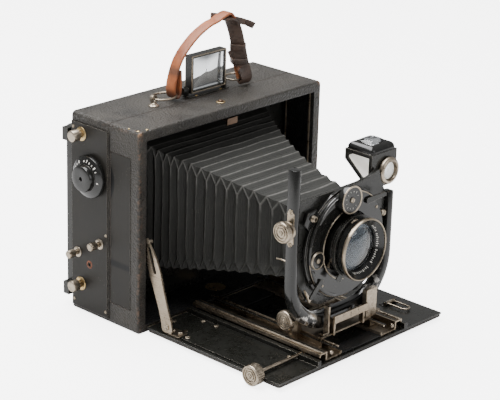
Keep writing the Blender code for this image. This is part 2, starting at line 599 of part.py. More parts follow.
turned("shift_knob", "x", SHIFT_AXIS,
       ((1.2, 10.0), (1.2, -36.0), (4.6, -36.0), (4.6, -38.4), (7.3, -38.6), (7.3, -42.3), (6.8, -42.8)),
       NICKEL, count=24, origin=(-38.0, *SHIFT_AXIS))

LEFT_ARM_TOP = 141.0
RIGHT_ARM_TOP = 102.0
FRAME_LOW = 17.0


def u_side(half_width, low, radius, left_top, right_top, steps=8):
    """One edge of the U: down the left arm, round the foot and up the right arm."""
    points = [(-half_width, left_top)]
    for centre_x, start in ((-half_width + radius, math.pi), (half_width - radius, 1.5 * math.pi)):
        for step in range(steps + 1):
            turn = start + 0.5 * math.pi * step / steps
            points.append((centre_x + radius * math.cos(turn), low + radius + radius * math.sin(turn)))
    points.append((half_width, right_top))
    return points


outer_edge = u_side(FRAME_HALF_WIDTH, FRAME_LOW, 40.0, LEFT_ARM_TOP, RIGHT_ARM_TOP)
inner_edge = u_side(FRAME_HALF_WIDTH - FRAME_ARM, 29.0, 33.0, LEFT_ARM_TOP, RIGHT_ARM_TOP)
prism("u_frame", "y", outer_edge + inner_edge[::-1], FRAME_FRONT_Y, FRAME_BACK_Y, BLACK_PAINT,
      origin=(0.0, -137.0, 20.0), smooth=30)

RISE_AXIS = (-139.0, 100.0)                 # y, z
turned("rise_knob", "x", RISE_AXIS,
       ((1.4, -52.8), (1.4, -55.0), (6.4, -55.0), (6.4, -57.6), (4.4, -57.6), (4.4, -59.4), (7.5, -59.6),
        (7.5, -62.6), (7.0, -63.2)), NICKEL, count=24, origin=(-58.0, *RISE_AXIS))

lens_board = prism("lens_board", "y",
                   [(-45.6, 61.0), (-45.6, 116.0), (16.0, 116.0), (27.0, 117.0), (38.5, 120.2), (40.9, 112.0),
                    (45.6, 103.5), (45.6, 61.0), (34.0, 41.4), (20.0, 35.4), (-20.0, 35.4), (-34.0, 41.4)],
                   BOARD_FRONT_Y, BOARD_BACK_Y, BLACK_PAINT, origin=(0.0, -136.0, OPTICAL_Z))
join(lens_board, turned("finder_stud", "y", FINDER_PIVOT, ((1.2, -136.0), (1.2, -131.9)), BLACK_PAINT,
                        count=12))
cut(lens_board, turned("cut_lens_hole", "y", (0.0, OPTICAL_Z), ((21.0, -140.0), (21.0, -132.0)), BLACK_PAINT,
                       count=32))

shutter_case = turned("shutter_case", "y", (0.0, OPTICAL_Z),
                      ((24.0, BOARD_FRONT_Y - GAP), (40.0, BOARD_FRONT_Y - GAP), (40.0, -140.4),
                       (SHUTTER_RADIUS, -140.8), (SHUTTER_RADIUS, SHUTTER_FACE_Y + 0.9),
                       (SHUTTER_RADIUS - 0.9, SHUTTER_FACE_Y),
                       (24.0, SHUTTER_FACE_Y)),
                      BLACK_PAINT, count=36, ring=True, origin=(0.0, -140.0, OPTICAL_Z))

SPEED_DIAL = (-2.8, 110.8)
turned("speed_dial", "y", SPEED_DIAL,
       ((1.2, SHUTTER_FACE_Y - 0.3), (10.4, SHUTTER_FACE_Y - 0.3), (10.4, -148.6), (9.8, -149.3),
        (9.0, -149.3), (8.8, -148.9), (1.2, -148.9)),
       BLACK_PAINT, count=28, ring=True, origin=(SPEED_DIAL[0], -146.0, SPEED_DIAL[1]))
MODE_DIAL = (-31.6, 73.2)
turned("mode_dial", "y", MODE_DIAL,
       ((6.2, SHUTTER_FACE_Y - 0.3), (6.4, -144.8), (6.4, -145.5), (6.0, -145.9), (5.4, -145.9),
        (5.2, -145.6)),
       NICKEL, count=28, origin=(MODE_DIAL[0], -145.0, MODE_DIAL[1]))


def lever(name, pivot, tip, width, low_y, high_y):
    """A flat lever with round ends, turning about its pivot."""
    along = Vector(tip) - Vector(pivot)
    angle = math.atan2(along.y, along.x)
    outline = []
    for end, radius, start in ((tip, width * 0.35, -0.5 * math.pi), (pivot, width * 0.5, 0.5 * math.pi)):
        for step in range(7):
            turn = angle + start + math.pi * step / 6.0
            outline.append((end[0] + radius * math.cos(turn), end[1] + radius * math.sin(turn)))
    return prism(name, "y", outline, low_y, high_y, BLACK_PAINT, origin=(pivot[0], low_y, pivot[1]),
                 smooth=40)


lever("cocking_lever", (19.0, 104.0), (36.5, 104.5), 4.4, -145.6, SHUTTER_FACE_Y - 0.3)
lever("release_lever", (-27.5, 56.0), (-37.0, 47.5), 4.4, -145.6, SHUTTER_FACE_Y - 0.3)

turned("lens_barrel", "y", (0.0, OPTICAL_Z),
       ((20.4, -136.6), (20.4, -157.6), (22.3, -158.0), (22.3, -160.2), (21.0, -160.6), (19.6, -160.2),
        (16.6, -155.4), (16.6, -136.6)),
       BLACK_PAINT, count=32, ring=True, origin=(0.0, -140.0, OPTICAL_Z))
turned("front_lens", "y", (0.0, OPTICAL_Z),
       ((16.2, -150.6), (16.2, -154.4), (13.0, -156.0), (8.6, -157.3), (4.2, -158.0), (0.6, -158.2)),
       GLASS, count=32, origin=(0.0, -152.0, OPTICAL_Z))
turned("rear_cell", "y", (0.0, OPTICAL_Z),
       ((13.6, -128.4), (15.4, -128.4), (15.4, -133.4), (18.8, -133.4), (18.8, -136.2), (11.0, -136.2),
        (11.0, -132.0)),
       BLACK_PAINT, count=28, ring=True, origin=(0.0, -132.0, OPTICAL_Z))
turned("iris_plate", "y", (0.0, OPTICAL_Z), ((8.0, -145.6), (16.2, -145.6), (16.2, -145.2), (8.0, -145.2)),
       BLACK_PAINT, count=32, ring=True, origin=(0.0, -145.0, OPTICAL_Z))
turn_low, turn_high = math.radians(226.0), math.radians(238.0)
aperture_outline = []
for radius, turns in ((27.0, (turn_low, 0.5 * (turn_low + turn_high), turn_high)),
                      (21.4, (turn_high, 0.5 * (turn_low + turn_high), turn_low))):
    for turn in turns:
        aperture_outline.append((radius * math.cos(turn), OPTICAL_Z + radius * math.sin(turn)))
aperture_ring = framed("aperture_ring", "y", flat_circle((0.0, OPTICAL_Z), 22.6, 32),
                       flat_circle((0.0, OPTICAL_Z), 20.8, 32), -151.8, -149.7, BLACK_PAINT,
                       origin=(0.0, -150.0, OPTICAL_Z), smooth=40)
join(aperture_ring, prism("aperture_tab", "y", aperture_outline, -151.2, -150.3, NICKEL))

# ---- reflecting finder ----------------------------------------------------------------------------

FINDER_FRONT_Y = -133.7
FINDER_BACK_Y = -109.0
finder_side = [(FINDER_FRONT_Y, 104.4), (FINDER_FRONT_Y, 129.6), (FINDER_BACK_Y, 129.6),
               (FINDER_BACK_Y, 122.0), (FINDER_FRONT_Y + 3.4, 104.4)]
finder_body = prism("finder_body", "x", finder_side, 34.8, 61.8, BLACK_PAINT,
                    origin=(FINDER_PIVOT[0], FINDER_FRONT_Y, FINDER_PIVOT[1]))
cut(finder_body, prism("finder_trim", "y", [(56.0, 103.0), (63.0, 103.0), (63.0, 118.0), (61.8, 118.0)],
                       -136.0, -106.0, BLACK_PAINT))
cut(finder_body, prism("finder_hollow", "x", [(FINDER_FRONT_Y + 1.3, 108.0), (FINDER_FRONT_Y + 1.3, 131.0),
                                              (FINDER_BACK_Y - 1.3, 131.0), (FINDER_BACK_Y - 1.3, 122.8),
                                              (FINDER_FRONT_Y + 5.0, 108.0)], 36.0, 56.0, BLACK_PAINT))
cut(finder_body, prism("finder_window", "x", [(FINDER_FRONT_Y + 2.8, 110.0), (FINDER_FRONT_Y + 2.8, 127.0),
                                              (FINDER_BACK_Y - 2.8, 127.0), (FINDER_BACK_Y - 2.8, 123.4),
                                              (FINDER_FRONT_Y + 6.2, 110.0)],
                       34.0, 37.0, BLACK_PAINT))
cut(finder_body, turned("finder_port", "y", FINDER_LENS, ((7.4, -136.0), (7.4, -131.6)), BLACK_PAINT,
                        count=24))
cut(finder_body, turned("finder_screw_hole", "y", FINDER_PIVOT, ((1.5, -136.0), (1.5, -131.6)), BLACK_PAINT,
                        count=12))
turned("finder_objective", "y", FINDER_LENS,
       ((7.0, -132.6), (7.0, -134.2), (10.0, -134.2), (10.0, -136.4), (9.2, -137.6), (7.6, -137.6),
        (7.0, -136.8), (3.0, -137.6)), NICKEL, count=28,
       origin=(FINDER_PIVOT[0], FINDER_FRONT_Y, FINDER_PIVOT[1]))
top_loops = []
for inset, z in ((0.3, 129.9), (0.3, 131.8), (1.6, 133.4), (4.4, 135.4), (8.0, 136.7), (11.0, 137.0)):
    lid_outline = rounded_box(34.8 + inset, 61.8 - inset, FINDER_FRONT_Y + inset, FINDER_BACK_Y - inset,
                              max(1.2, 3.0 - inset * 0.2), 3)
    top_loops.append(lift("z", lid_outline, z))
make("finder_top_lens", top_loops, GLASS, origin=(FINDER_PIVOT[0], FINDER_FRONT_Y, FINDER_PIVOT[1]),
     smooth=40)

# ---- bellows -------------------------------------------------------------------------------------

BELLOWS_FRONT_Y = -134.3
BELLOWS_BACK_Y = -4.6
FIRST_RIDGE_Y = -12.0
RIDGE_COUNT = 15
FIRST_SPACING = 4.8
SPACING_GROWTH = 1.066
PLEAT_DEPTH = 4.2
SKIN = 1.0


def bellows_section(y, inset):
    """The bellows' cross-section, a rectangle that grows towards the body."""
    reach = max(0.0, (y + 130.0) / 126.0)
    half_width = 28.0 + 36.0 * reach ** 1.8 - inset
    top = 103.0 + 27.0 * reach ** 1.6 - inset
    low = 55.0 - 20.0 * reach ** 0.75 + inset
    outline = [(half_width, low), (half_width, top), (-half_width, top), (-half_width, low)]
    return lift("y", outline, y)


ridges = [FIRST_RIDGE_Y]
for index in range(RIDGE_COUNT - 1):
    ridges.append(ridges[-1] - FIRST_SPACING * SPACING_GROWTH ** index)
stations = [(BELLOWS_BACK_Y, 0.0), (0.5 * (BELLOWS_BACK_Y + FIRST_RIDGE_Y), PLEAT_DEPTH)]
for here, following in zip(ridges, ridges[1:] + [ridges[-1] - 11.0]):
    stations.append((here, 0.0))
    stations.append((0.5 * (here + following), PLEAT_DEPTH))
stations.append((BELLOWS_FRONT_Y, 0.0))
bellows_loops = [bellows_section(y, inset) for y, inset in stations]
bellows_loops += [bellows_section(y, inset + SKIN) for y, inset in reversed(stations)]
make("bellows", bellows_loops, BLACK_CLOTH, ring=True)
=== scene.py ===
import math

import bmesh
import bpy
from mathutils import Matrix, Vector, noise


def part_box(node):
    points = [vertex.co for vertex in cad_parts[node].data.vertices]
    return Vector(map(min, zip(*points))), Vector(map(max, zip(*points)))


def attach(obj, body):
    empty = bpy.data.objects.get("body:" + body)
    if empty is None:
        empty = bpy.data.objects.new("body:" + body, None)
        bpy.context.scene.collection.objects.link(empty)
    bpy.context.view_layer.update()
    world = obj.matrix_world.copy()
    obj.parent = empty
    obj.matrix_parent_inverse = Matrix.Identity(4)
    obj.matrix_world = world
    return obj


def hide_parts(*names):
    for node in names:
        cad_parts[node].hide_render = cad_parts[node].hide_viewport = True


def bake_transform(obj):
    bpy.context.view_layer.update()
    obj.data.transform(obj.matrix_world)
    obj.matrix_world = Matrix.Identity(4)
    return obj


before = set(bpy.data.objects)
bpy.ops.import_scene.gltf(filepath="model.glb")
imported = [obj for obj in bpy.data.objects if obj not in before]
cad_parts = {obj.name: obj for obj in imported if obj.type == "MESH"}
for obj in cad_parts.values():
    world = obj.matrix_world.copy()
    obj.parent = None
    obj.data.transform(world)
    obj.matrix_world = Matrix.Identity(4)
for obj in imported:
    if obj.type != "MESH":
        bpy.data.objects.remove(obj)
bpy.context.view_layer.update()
mm = 0.001

# Node groups: each gives a mask, a height or a normal that materials share.


def addNode(tree, kind, options=None, inputs=None):
    node = tree.nodes.new("ShaderNode" + kind)
    for key, value in (options or {}).items():
        setattr(node, key, value)
    for key, value in (inputs or {}).items():
        if isinstance(value, bpy.types.NodeSocket):
            tree.links.new(value, node.inputs[key])
        else:
            node.inputs[key].default_value = value
    return node


def mathNode(tree, operation, first, second=0.0, clamp=False):
    options = {"operation": operation, "use_clamp": clamp}
    return addNode(tree, "Math", options, {0: first, 1: second}).outputs[0]


def mixColour(tree, factor, first, second, blend="MIX"):
    node = addNode(tree, "Mix", {"data_type": "RGBA", "blend_type": blend}, {0: factor, 6: first, 7: second})
    return node.outputs[2]


def remap(tree, value, fromMin, fromMax, toMin=0.0, toMax=1.0):
    inputs = {"Value": value, "From Min": fromMin, "From Max": fromMax, "To Min": toMin, "To Max": toMax}
    return addNode(tree, "MapRange", None, inputs).outputs[0]


def noiseNode(tree, vector, scale, detail, rough=0.5):
    inputs = {"Vector": vector, "Scale": scale, "Detail": detail, "Roughness": rough}
    return addNode(tree, "TexNoise", None, inputs).outputs


def product(tree, first, *others):
    for other in others:
        first = mathNode(tree, "MULTIPLY", first, other)
    return first


def splitPosition(tree, position):
    return addNode(tree, "SeparateXYZ", None, {0: position}).outputs


def makeGroup(name, inputs, outputs):
    group = bpy.data.node_groups.new(name, "ShaderNodeTree")
    for label, kind, value in inputs:
        socket = group.interface.new_socket(label, in_out="INPUT", socket_type="NodeSocket" + kind)
        if value is not None:
            socket.default_value = value
    for label, kind in outputs:
        group.interface.new_socket(label, in_out="OUTPUT", socket_type="NodeSocket" + kind)
    return group, group.nodes.new("NodeGroupInput").outputs, group.nodes.new("NodeGroupOutput").inputs


def makeEdgeGroup():  # worn edges: where the rounded normal leaves the flat one, broken up by noise
    group, given, result = makeGroup(
        "edgeWear", [("Vector", "Vector", None), ("Width", "Float", 0.0006), ("Strength", "Float", 4.0),
                     ("Patch Scale", "Float", 260.0), ("Breakup", "Float", 0.6)],
        [("Mask", "Float"), ("Normal", "Vector")])
    bevel = addNode(group, "Bevel", {"samples": 4}, {"Radius": given["Width"]})
    flat = addNode(group, "NewGeometry")
    dot = addNode(group, "VectorMath", {"operation": "DOT_PRODUCT"},
                  {0: bevel.outputs[0], 1: flat.outputs["Normal"]})
    turned = mathNode(group, "SUBTRACT", 1.0, dot.outputs["Value"], True)
    patches = noiseNode(group, given["Vector"], given["Patch Scale"], 5.0, 0.65)[0]
    broken = product(group, mathNode(group, "SUBTRACT", patches, 0.5), given["Breakup"], 2.0)
    raised = mathNode(group, "ADD", product(group, turned, given["Strength"]), broken)
    group.links.new(remap(group, raised, 0.35, 0.75), result["Mask"])
    group.links.new(bevel.outputs[0], result["Normal"])
    return group


def makePebbleGroup():  # leather: rounded cells with fine creases between
    group, given, result = makeGroup("leatherPebble", [("Vector", "Vector", None), ("Scale", "Float", 900.0)],
                                     [("Height", "Float"), ("Tone", "Float")])
    warp = noiseNode(group, given["Vector"], 500.0, 2.0)
    moved = addNode(group, "VectorMath", {"operation": "MULTIPLY_ADD"},
                    {0: warp["Color"], 1: (0.0011, 0.0011, 0.0011), 2: given["Vector"]})
    cells = addNode(group, "TexVoronoi", {"feature": "SMOOTH_F1"},
                    {"Vector": moved.outputs[0], "Scale": given["Scale"], "Smoothness": 0.35})
    fine = noiseNode(group, given["Vector"], 2600.0, 3.0)[0]
    dome = mathNode(group, "SUBTRACT", 1.0, cells.outputs["Distance"], True)
    group.links.new(mathNode(group, "ADD", dome, product(group, fine, 0.35)), result["Height"])
    group.links.new(noiseNode(group, given["Vector"], 45.0, 6.0, 0.7)[0], result["Tone"])
    return group


def makeStreakGroup():  # long fine marks along one axis: brushed metal, drawn rails, rubbed paint
    group, given, result = makeGroup(
        "fineStreaks", [("Vector", "Vector", None), ("Stretch", "Vector", (1, 1, 1))],
        [("Height", "Float"), ("Tone", "Float")])
    drawn = addNode(group, "VectorMath", {"operation": "MULTIPLY"},
                    {0: given["Vector"], 1: given["Stretch"]})
    fine = noiseNode(group, drawn.outputs[0], 1.0, 5.0, 0.6)[0]
    broad = noiseNode(group, given["Vector"], 70.0, 5.0, 0.65)[0]
    both = mathNode(group, "ADD", product(group, fine, 0.45), product(group, broad, 0.55))
    group.links.new(fine, result["Height"])
    group.links.new(both, result["Tone"])
    return group


def makeSpeckGroup():  # dust and small pits
    group, given, result = makeGroup("dustSpecks", [("Vector", "Vector", None), ("Scale", "Float", 420.0),
                                                    ("Size", "Float", 0.16)], [("Mask", "Float")])
    cells = addNode(group, "TexVoronoi", None, {"Vector": given["Vector"], "Scale": given["Scale"]})
    patches = noiseNode(group, given["Vector"], 60.0, 3.0)[0]
    small = mathNode(group, "LESS_THAN", cells.outputs["Distance"], given["Size"])
    where = remap(group, patches, 0.55, 0.72)
    group.links.new(product(group, small, where), result["Mask"])
    return group


def makeClothGroup():  # woven threads under a coating
    group, given, result = makeGroup("clothWeave", [("Vector", "Vector", None), ("Scale", "Float", 1500.0)],
                                     [("Height", "Float")])
    scaled = addNode(group, "VectorMath", {"operation": "SCALE"},
                     {0: given["Vector"], "Scale": given["Scale"]})
    across = splitPosition(group, scaled.outputs[0])
    waves = [mathNode(group, "SINE", product(group, across[index], math.tau)) for index in range(3)]
    total = mathNode(group, "ADD", mathNode(group, "ADD", waves[0], waves[1]), waves[2])
    group.links.new(total, result["Height"])
    return group


groups = {"edge": makeEdgeGroup(), "pebble": makePebbleGroup(), "streak": makeStreakGroup(),
          "speck": makeSpeckGroup(), "cloth": makeClothGroup()}

# A dictionary for each finish. The marks that only one piece has come further down.

leatherBlack = {"base": (0.015, 0.0130, 0.0105), "second": (0.036, 0.0315, 0.0255), "specular": 0.42,
                "rough": (0.34, 0.52), "pebble": 620.0, "depth": 1.0, "wear": (0.085, 0.060, 0.046),
                "wearWidth": 0.0012, "wearStrength": 2.2, "breakup": 0.6, "patchScale": 170.0, "dust": 0.05}
enamel = {"base": (0.0065, 0.0065, 0.0052), "second": (0.014, 0.014, 0.012), "rough": (0.22, 0.38),
          "coat": 0.1, "specular": 0.34, "wear": (0.30, 0.27, 0.23), "wearWidth": 0.0004,
          "wearStrength": 2.4, "breakup": 0.5, "patchScale": 420.0, "wearMetal": 0.7, "depth": 0.05,
          "dust": 0.12}
enamelGloss = dict(enamel, base=(0.005, 0.005, 0.0045), second=(0.010, 0.010, 0.009), rough=(0.10, 0.22),
                   coat=0.1, specular=0.42)
enamelMatt = dict(enamel, base=(0.010, 0.0090, 0.0075), second=(0.022, 0.0195, 0.0160), rough=(0.40, 0.56),
                  coat=0.0, specular=0.22, streak=(2600.0, 2600.0, 60.0), depth=0.10)
nickel = {"base": (0.22, 0.18, 0.135), "second": (0.50, 0.43, 0.34), "rough": (0.22, 0.42), "metal": 1.0,
          "streak": (500.0, 500.0, 500.0), "depth": 0.08, "wear": (0.42, 0.33, 0.20), "wearWidth": 0.0004,
          "wearStrength": 1.8, "breakup": 0.55, "patchScale": 600.0, "wearMetal": 1.0, "dust": 0.18}
nickelDrawn = dict(nickel, base=(0.24, 0.19, 0.135), second=(0.46, 0.39, 0.305),
                   streak=(2400.0, 40.0, 2400.0))
brassAged = dict(nickel, base=(0.42, 0.29, 0.13), second=(0.55, 0.41, 0.21), wear=(0.20, 0.12, 0.06))
strapTan = {"base": (0.20, 0.052, 0.015), "second": (0.40, 0.125, 0.042), "rough": (0.40, 0.58),
            "pebble": 1500.0,
            "depth": 0.16, "wear": (0.075, 0.038, 0.024), "wearWidth": 0.0011, "wearStrength": 2.6,
            "breakup": 0.5,
            "patchScale": 240.0, "dust": 0.08}
strapDark = dict(strapTan, base=(0.030, 0.018, 0.013), second=(0.085, 0.050, 0.034), depth=0.5,
                 wear=(0.16, 0.075, 0.035))
clothBlack = {"base": (0.0095, 0.0095, 0.0078), "second": (0.019, 0.019, 0.016), "rough": (0.52, 0.68),
              "specular": 0.35, "cloth": 1150.0, "depth": 0.22, "dust": 0.10}
glassLook = {"base": (0.92, 0.95, 0.98), "rough": (0.0, 0.004), "glass": 1.0}
latchBrown = dict(nickelDrawn, base=(0.07, 0.045, 0.032), second=(0.20, 0.135, 0.095), rough=(0.35, 0.5))
glassLens = dict(glassLook, base=(0.50, 0.54, 0.58))
glassGround = {"base": (0.80, 0.83, 0.83), "rough": (0.55, 0.62), "glass": 0.75, "streak": (900.0,) * 3}
markPaint = dict(enamel, base=(0.62, 0.60, 0.55), second=(0.78, 0.77, 0.72), rough=(0.5, 0.6), coat=0.0)
rust = {"base": (0.10, 0.030, 0.014), "second": (0.22, 0.075, 0.035), "rough": (0.7, 0.9), "pebble": 1800.0,
        "depth": 0.5, "dust": 0.2}
# finder mirror and screen: a painted reflection of a bright ceiling, pale cream with an emission of strength
# 0.9 that lights it on its own
mirrorPaintedReflection = {"base": (0.62, 0.58, 0.50), "second": (0.86, 0.84, 0.78), "rough": (0.15, 0.25),
               "dust": 0.05, "paintedGlow": 0.9}
dustColour = (0.45, 0.41, 0.35, 1.0)
toneSpread = (0.36, 0.64)  # where the noise runs from the base colour to the second one


def makeMaterial(name, look, extra=None):  # extra adds what only one piece has and returns the colour
    made = bpy.data.materials.new(name)
    made.use_nodes = True
    tree = made.node_tree
    shader = tree.nodes["Principled BSDF"]
    position = addNode(tree, "TexCoord").outputs["Object"]
    made.diffuse_color = (*look["base"], 1.0)
    shader.inputs["Coat Weight"].default_value = look.get("coat", 0.0)
    shader.inputs["Coat Roughness"].default_value = 0.12
    shader.inputs["Specular IOR Level"].default_value = look.get("specular", 0.5)
    shader.inputs["Metallic"].default_value = look.get("metal", 0.0)

    def grouped(kind, **inputs):
        return addNode(tree, "Group", {"node_tree": groups[kind]}, {"Vector": position, **inputs}).outputs

    if "pebble" in look:
        surface = grouped("pebble", Scale=look["pebble"])
    else:
        surface = grouped("streak", Stretch=look.get("streak", (500.0, 500.0, 500.0)))
    height, tone = surface["Height"], surface["Tone"]
    if "cloth" in look:
        height = grouped("cloth", Scale=look["cloth"])["Height"]
    if "glass" in look:
        shader.inputs["Base Color"].default_value = (*look["base"], 1.0)
        shader.inputs["Transmission Weight"].default_value = look["glass"]
        shader.inputs["IOR"].default_value = 1.5
        tree.links.new(remap(tree, tone, 0.35, 0.65, *look["rough"]), shader.inputs["Roughness"])
        return made
    spread = remap(tree, tone, *toneSpread)
    colour = mixColour(tree, spread, (*look["base"], 1.0), (*look["second"], 1.0))
    colour = mixColour(tree, product(tree, grouped("speck")[0], look["dust"]), colour, dustColour)
    rough = remap(tree, tone, *toneSpread, *look["rough"])
    normal = None
    if "wear" in look:
        edge = grouped("edge", Width=look["wearWidth"], Strength=look["wearStrength"],
                       Breakup=look["breakup"],
                       **{"Patch Scale": look["patchScale"]})
        colour = mixColour(tree, edge["Mask"], colour, (*look["wear"], 1.0))
        normal = edge["Normal"]
        if "wearMetal" in look and not look.get("metal"):
            tree.links.new(product(tree, edge["Mask"], look["wearMetal"]), shader.inputs["Metallic"])
    if extra:
        colour = extra(tree, position, colour, shader)
    tree.links.new(colour, shader.inputs["Base Color"])
    # paintedGlow is painted light: the surface gives off its own colour though it is no lamp
    if "paintedGlow" in look:
        tree.links.new(colour, shader.inputs["Emission Color"])
        shader.inputs["Emission Strength"].default_value = look["paintedGlow"]
    tree.links.new(rough, shader.inputs["Roughness"])
    if look.get("depth"):
        bump = addNode(tree, "Bump", None, {"Strength": look["depth"], "Distance": 0.0006, "Height": height})
        if normal:
            tree.links.new(normal, bump.inputs["Normal"])
        normal = bump.outputs[0]
    if normal:
        tree.links.new(normal, shader.inputs["Normal"])
    return made


def band(tree, value, low, high, soft):  # 1 between low and high, 0 outside, in metres
    rise = remap(tree, value, low - soft, low + soft)
    fall = remap(tree, value, high - soft, high + soft, 1.0, 0.0)
    return product(tree, rise, fall)


def cornerWear(tree, position, colour, shader):  # the box's front corners are rubbed through to tan leather
    x, y, z = splitPosition(tree, position)
    side = remap(tree, mathNode(tree, "ABSOLUTE", x), 0.0885, 0.0928)
    front = remap(tree, y, -0.0318, -0.0338)
    top = remap(tree, z, 0.1462, 0.1498)
    near = mathNode(tree, "ADD", product(tree, side, front),
                    product(tree, side, remap(tree, y, 0.02, -0.03), top))
    patches = noiseNode(tree, position, 330.0, 5.0, 0.7)[0]
    rubbed = mathNode(tree, "MULTIPLY", near, remap(tree, patches, 0.50, 0.62), True)
    both = product(tree, side, front, top)
    corner = mathNode(tree, "MULTIPLY", both, remap(tree, patches, 0.36, 0.52), True)
    colour = mixColour(tree, rubbed, colour, (0.115, 0.070, 0.045, 1.0))
    colour = mixColour(tree, corner, colour, (0.50, 0.27, 0.13, 1.0))
    inside = product(tree, remap(tree, mathNode(tree, "ABSOLUTE", x), 0.0862, 0.0859),
                     band(tree, z, 0.0057, 0.1429, 0.0001))
    return mixColour(tree, inside, colour, (0.010, 0.010, 0.010, 1.0))


def panelSmudgeAndKnobShade(tree, position, colour, shader):  # painted shade: a dark disc round the winding knob, and a dark smudge
    across = splitPosition(tree, position)
    knob = middle("winding_knob") * mm
    squares = [mathNode(tree, "POWER", mathNode(tree, "SUBTRACT", across[index], knob[index]), 2.0)
               for index in (1, 2)]
    reach = mathNode(tree, "SQRT", mathNode(tree, "ADD", *squares))
    # the near-black disc round the knob is painted shade, not a shape in the panel
    knobShadeDisc = remap(tree, reach, 0.0217, 0.0222, 1.0, 0.0)
    smudge = product(tree, band(tree, across[2], 0.0455, 0.0500, 0.0009), 0.95)
    colour = mixColour(tree, smudge, colour, (0.0015, 0.0015, 0.0022, 1.0))
    return mixColour(tree, knobShadeDisc, colour, (0.0012, 0.0012, 0.0012, 1.0))


def railBars(tree, position, colour, shader):  # the bars between the nickel rails are painted black
    offCentre = mathNode(tree, "ABSOLUTE", splitPosition(tree, position)[0])
    inside = remap(tree, offCentre, 0.0208, 0.0211, 1.0, 0.0)
    tree.links.new(mathNode(tree, "SUBTRACT", 1.0, inside), shader.inputs["Metallic"])
    return mixColour(tree, inside, colour, (0.014, 0.014, 0.014, 1.0))


def footChips(tree, position, colour, shader):  # bare metal on the lower corners of the standard's frame
    across = splitPosition(tree, position)
    where = product(tree, band(tree, mathNode(tree, "ABSOLUTE", across[0]), 0.026, 0.043, 0.002),
                    remap(tree, across[2], 0.048, 0.030))
    patches = noiseNode(tree, position, 150.0, 4.0, 0.6)[0]
    bare = mathNode(tree, "MULTIPLY", where, remap(tree, patches, 0.50, 0.56), True)
    tree.links.new(bare, shader.inputs["Metallic"])
    return mixColour(tree, bare, colour, (0.62, 0.59, 0.55, 1.0))


def foldRub(tree, position, colour, shader):  # ridges of the folds are rubbed grey
    rub = addNode(tree, "Attribute", {"attribute_name": "ridge"}).outputs["Fac"]
    patches = noiseNode(tree, position, 220.0, 4.0)[0]
    thin = product(tree, remap(tree, rub, 0.15, 0.75), remap(tree, patches, 0.30, 0.55, 0.45, 1.0))
    return mixColour(tree, thin, colour, (0.095, 0.092, 0.085, 1.0))


def strapWear(tree, position, colour, shader):  # one dark patch where it is gripped, and dark lower ends
    across = splitPosition(tree, position)
    patch = product(tree, band(tree, across[2], 0.169, 0.1745, 0.0015), remap(tree, across[0], 0.0, -0.01))
    low = remap(tree, across[2], 0.160, 0.155)
    dark = product(tree, mathNode(tree, "ADD", patch, low, True), 0.7)
    return mixColour(tree, dark, colour, (0.055, 0.028, 0.018, 1.0))


def tanEnd(tree, position, colour, shader):  # the short strap is unworn tan where it turns round the ring
    across = splitPosition(tree, position)
    low = product(tree, remap(tree, across[2], 0.1655, 0.1630), remap(tree, across[1], -0.0035, -0.0020))
    return mixColour(tree, low, colour, (0.33, 0.110, 0.038, 1.0))


def nodeBox(name):
    low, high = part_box(name)
    return low / mm, high / mm


def middle(name):
    low, high = nodeBox(name)
    return (low + high) / 2.0


def centreAcross(name, axis):  # the middle of a box, on the two axes across the given one
    low, high = nodeBox(name)
    return tuple((low[index] + high[index]) / 2 for index, label in enumerate("xyz") if label != axis)


mats = {
    "bodyLeather": makeMaterial("bodyLeather", leatherBlack, cornerWear),
    "enamel": makeMaterial("enamelBlack", enamel),
    "enamelGloss": makeMaterial("enamelGloss", enamelGloss),
    "frameEnamel": makeMaterial("frameEnamel", enamelGloss, footChips),
    "plate": makeMaterial("sidePlateEnamel", enamelMatt),
    "panel": makeMaterial("sidePanelEnamel", enamelMatt, panelSmudgeAndKnobShade),
    "nickel": makeMaterial("nickelWorn", nickel),
    "rails": makeMaterial("nickelRails", nickelDrawn, railBars),
    "nickelDrawn": makeMaterial("nickelDrawn", nickelDrawn),
    "brass": makeMaterial("brassAged", brassAged),
    "strap": makeMaterial("strapTan", strapTan, strapWear),
    "strapDark": makeMaterial("strapDark", strapDark, tanEnd),
    "latch": makeMaterial("latchBrown", latchBrown),
    "lens": makeMaterial("lensGlassDeep", glassLens),
    "bellows": makeMaterial("bellowsCloth", clothBlack, foldRub),
    "cloth": makeMaterial("curtainCloth", clothBlack),
    "glass": makeMaterial("lensGlass", glassLook),
    "groundGlass": makeMaterial("groundGlass", glassGround),
    "marks": makeMaterial("markPaint", markPaint),
    "rust": makeMaterial("rustRing", rust),
    "mirror": makeMaterial("mirrorPaintedReflection", mirrorPaintedReflection),
}
nodeLooks = {
    "bodyLeather": ["front_body", "shutter_housing", "bed_cover"],
    "enamel": ["shutter_front_frame", "back_frame", "bed_plate", "pinion_cover", "lens_board", "rear_cell",
               "iris_plate",
               "aperture_ring", "finder_body", "sight_base", "sight_frame", "speed_dial", "cocking_lever",
               "release_lever"],
    "enamelGloss": ["shutter_case", "lens_barrel", "winding_knob"],
    "frameEnamel": ["u_frame"],
    "plate": ["side_plate"],
    "panel": ["side_panel"],
    "nickel": ["handle_ring_left", "handle_ring_right", "handle_post_left", "handle_post_right",
               "release_pin", "time_pin", "back_catch_upper", "back_catch_lower", "bed_hinge_rod",
               "wire_loop",
               "focus_knob", "focus_pinion", "grip_left", "grip_right", "shift_knob", "rise_knob",
               "mode_dial",
               "finder_objective", "upper_roller", "lower_roller"],
    "nickelDrawn": ["strut_left", "strut_right", "standard_base"],
    "latch": ["bed_latch"],
    "rails": ["carriage"],
    "brass": ["tripod_bush", "winding_gear", "roller_gear", "handle_buckle"],
    "strap": ["handle_strap"],
    "bellows": ["bellows"],
    "cloth": ["focal_curtain"],
    "glass": ["front_lens", "finder_top_lens", "sight_lens"],
    "groundGlass": ["ground_glass"],
}
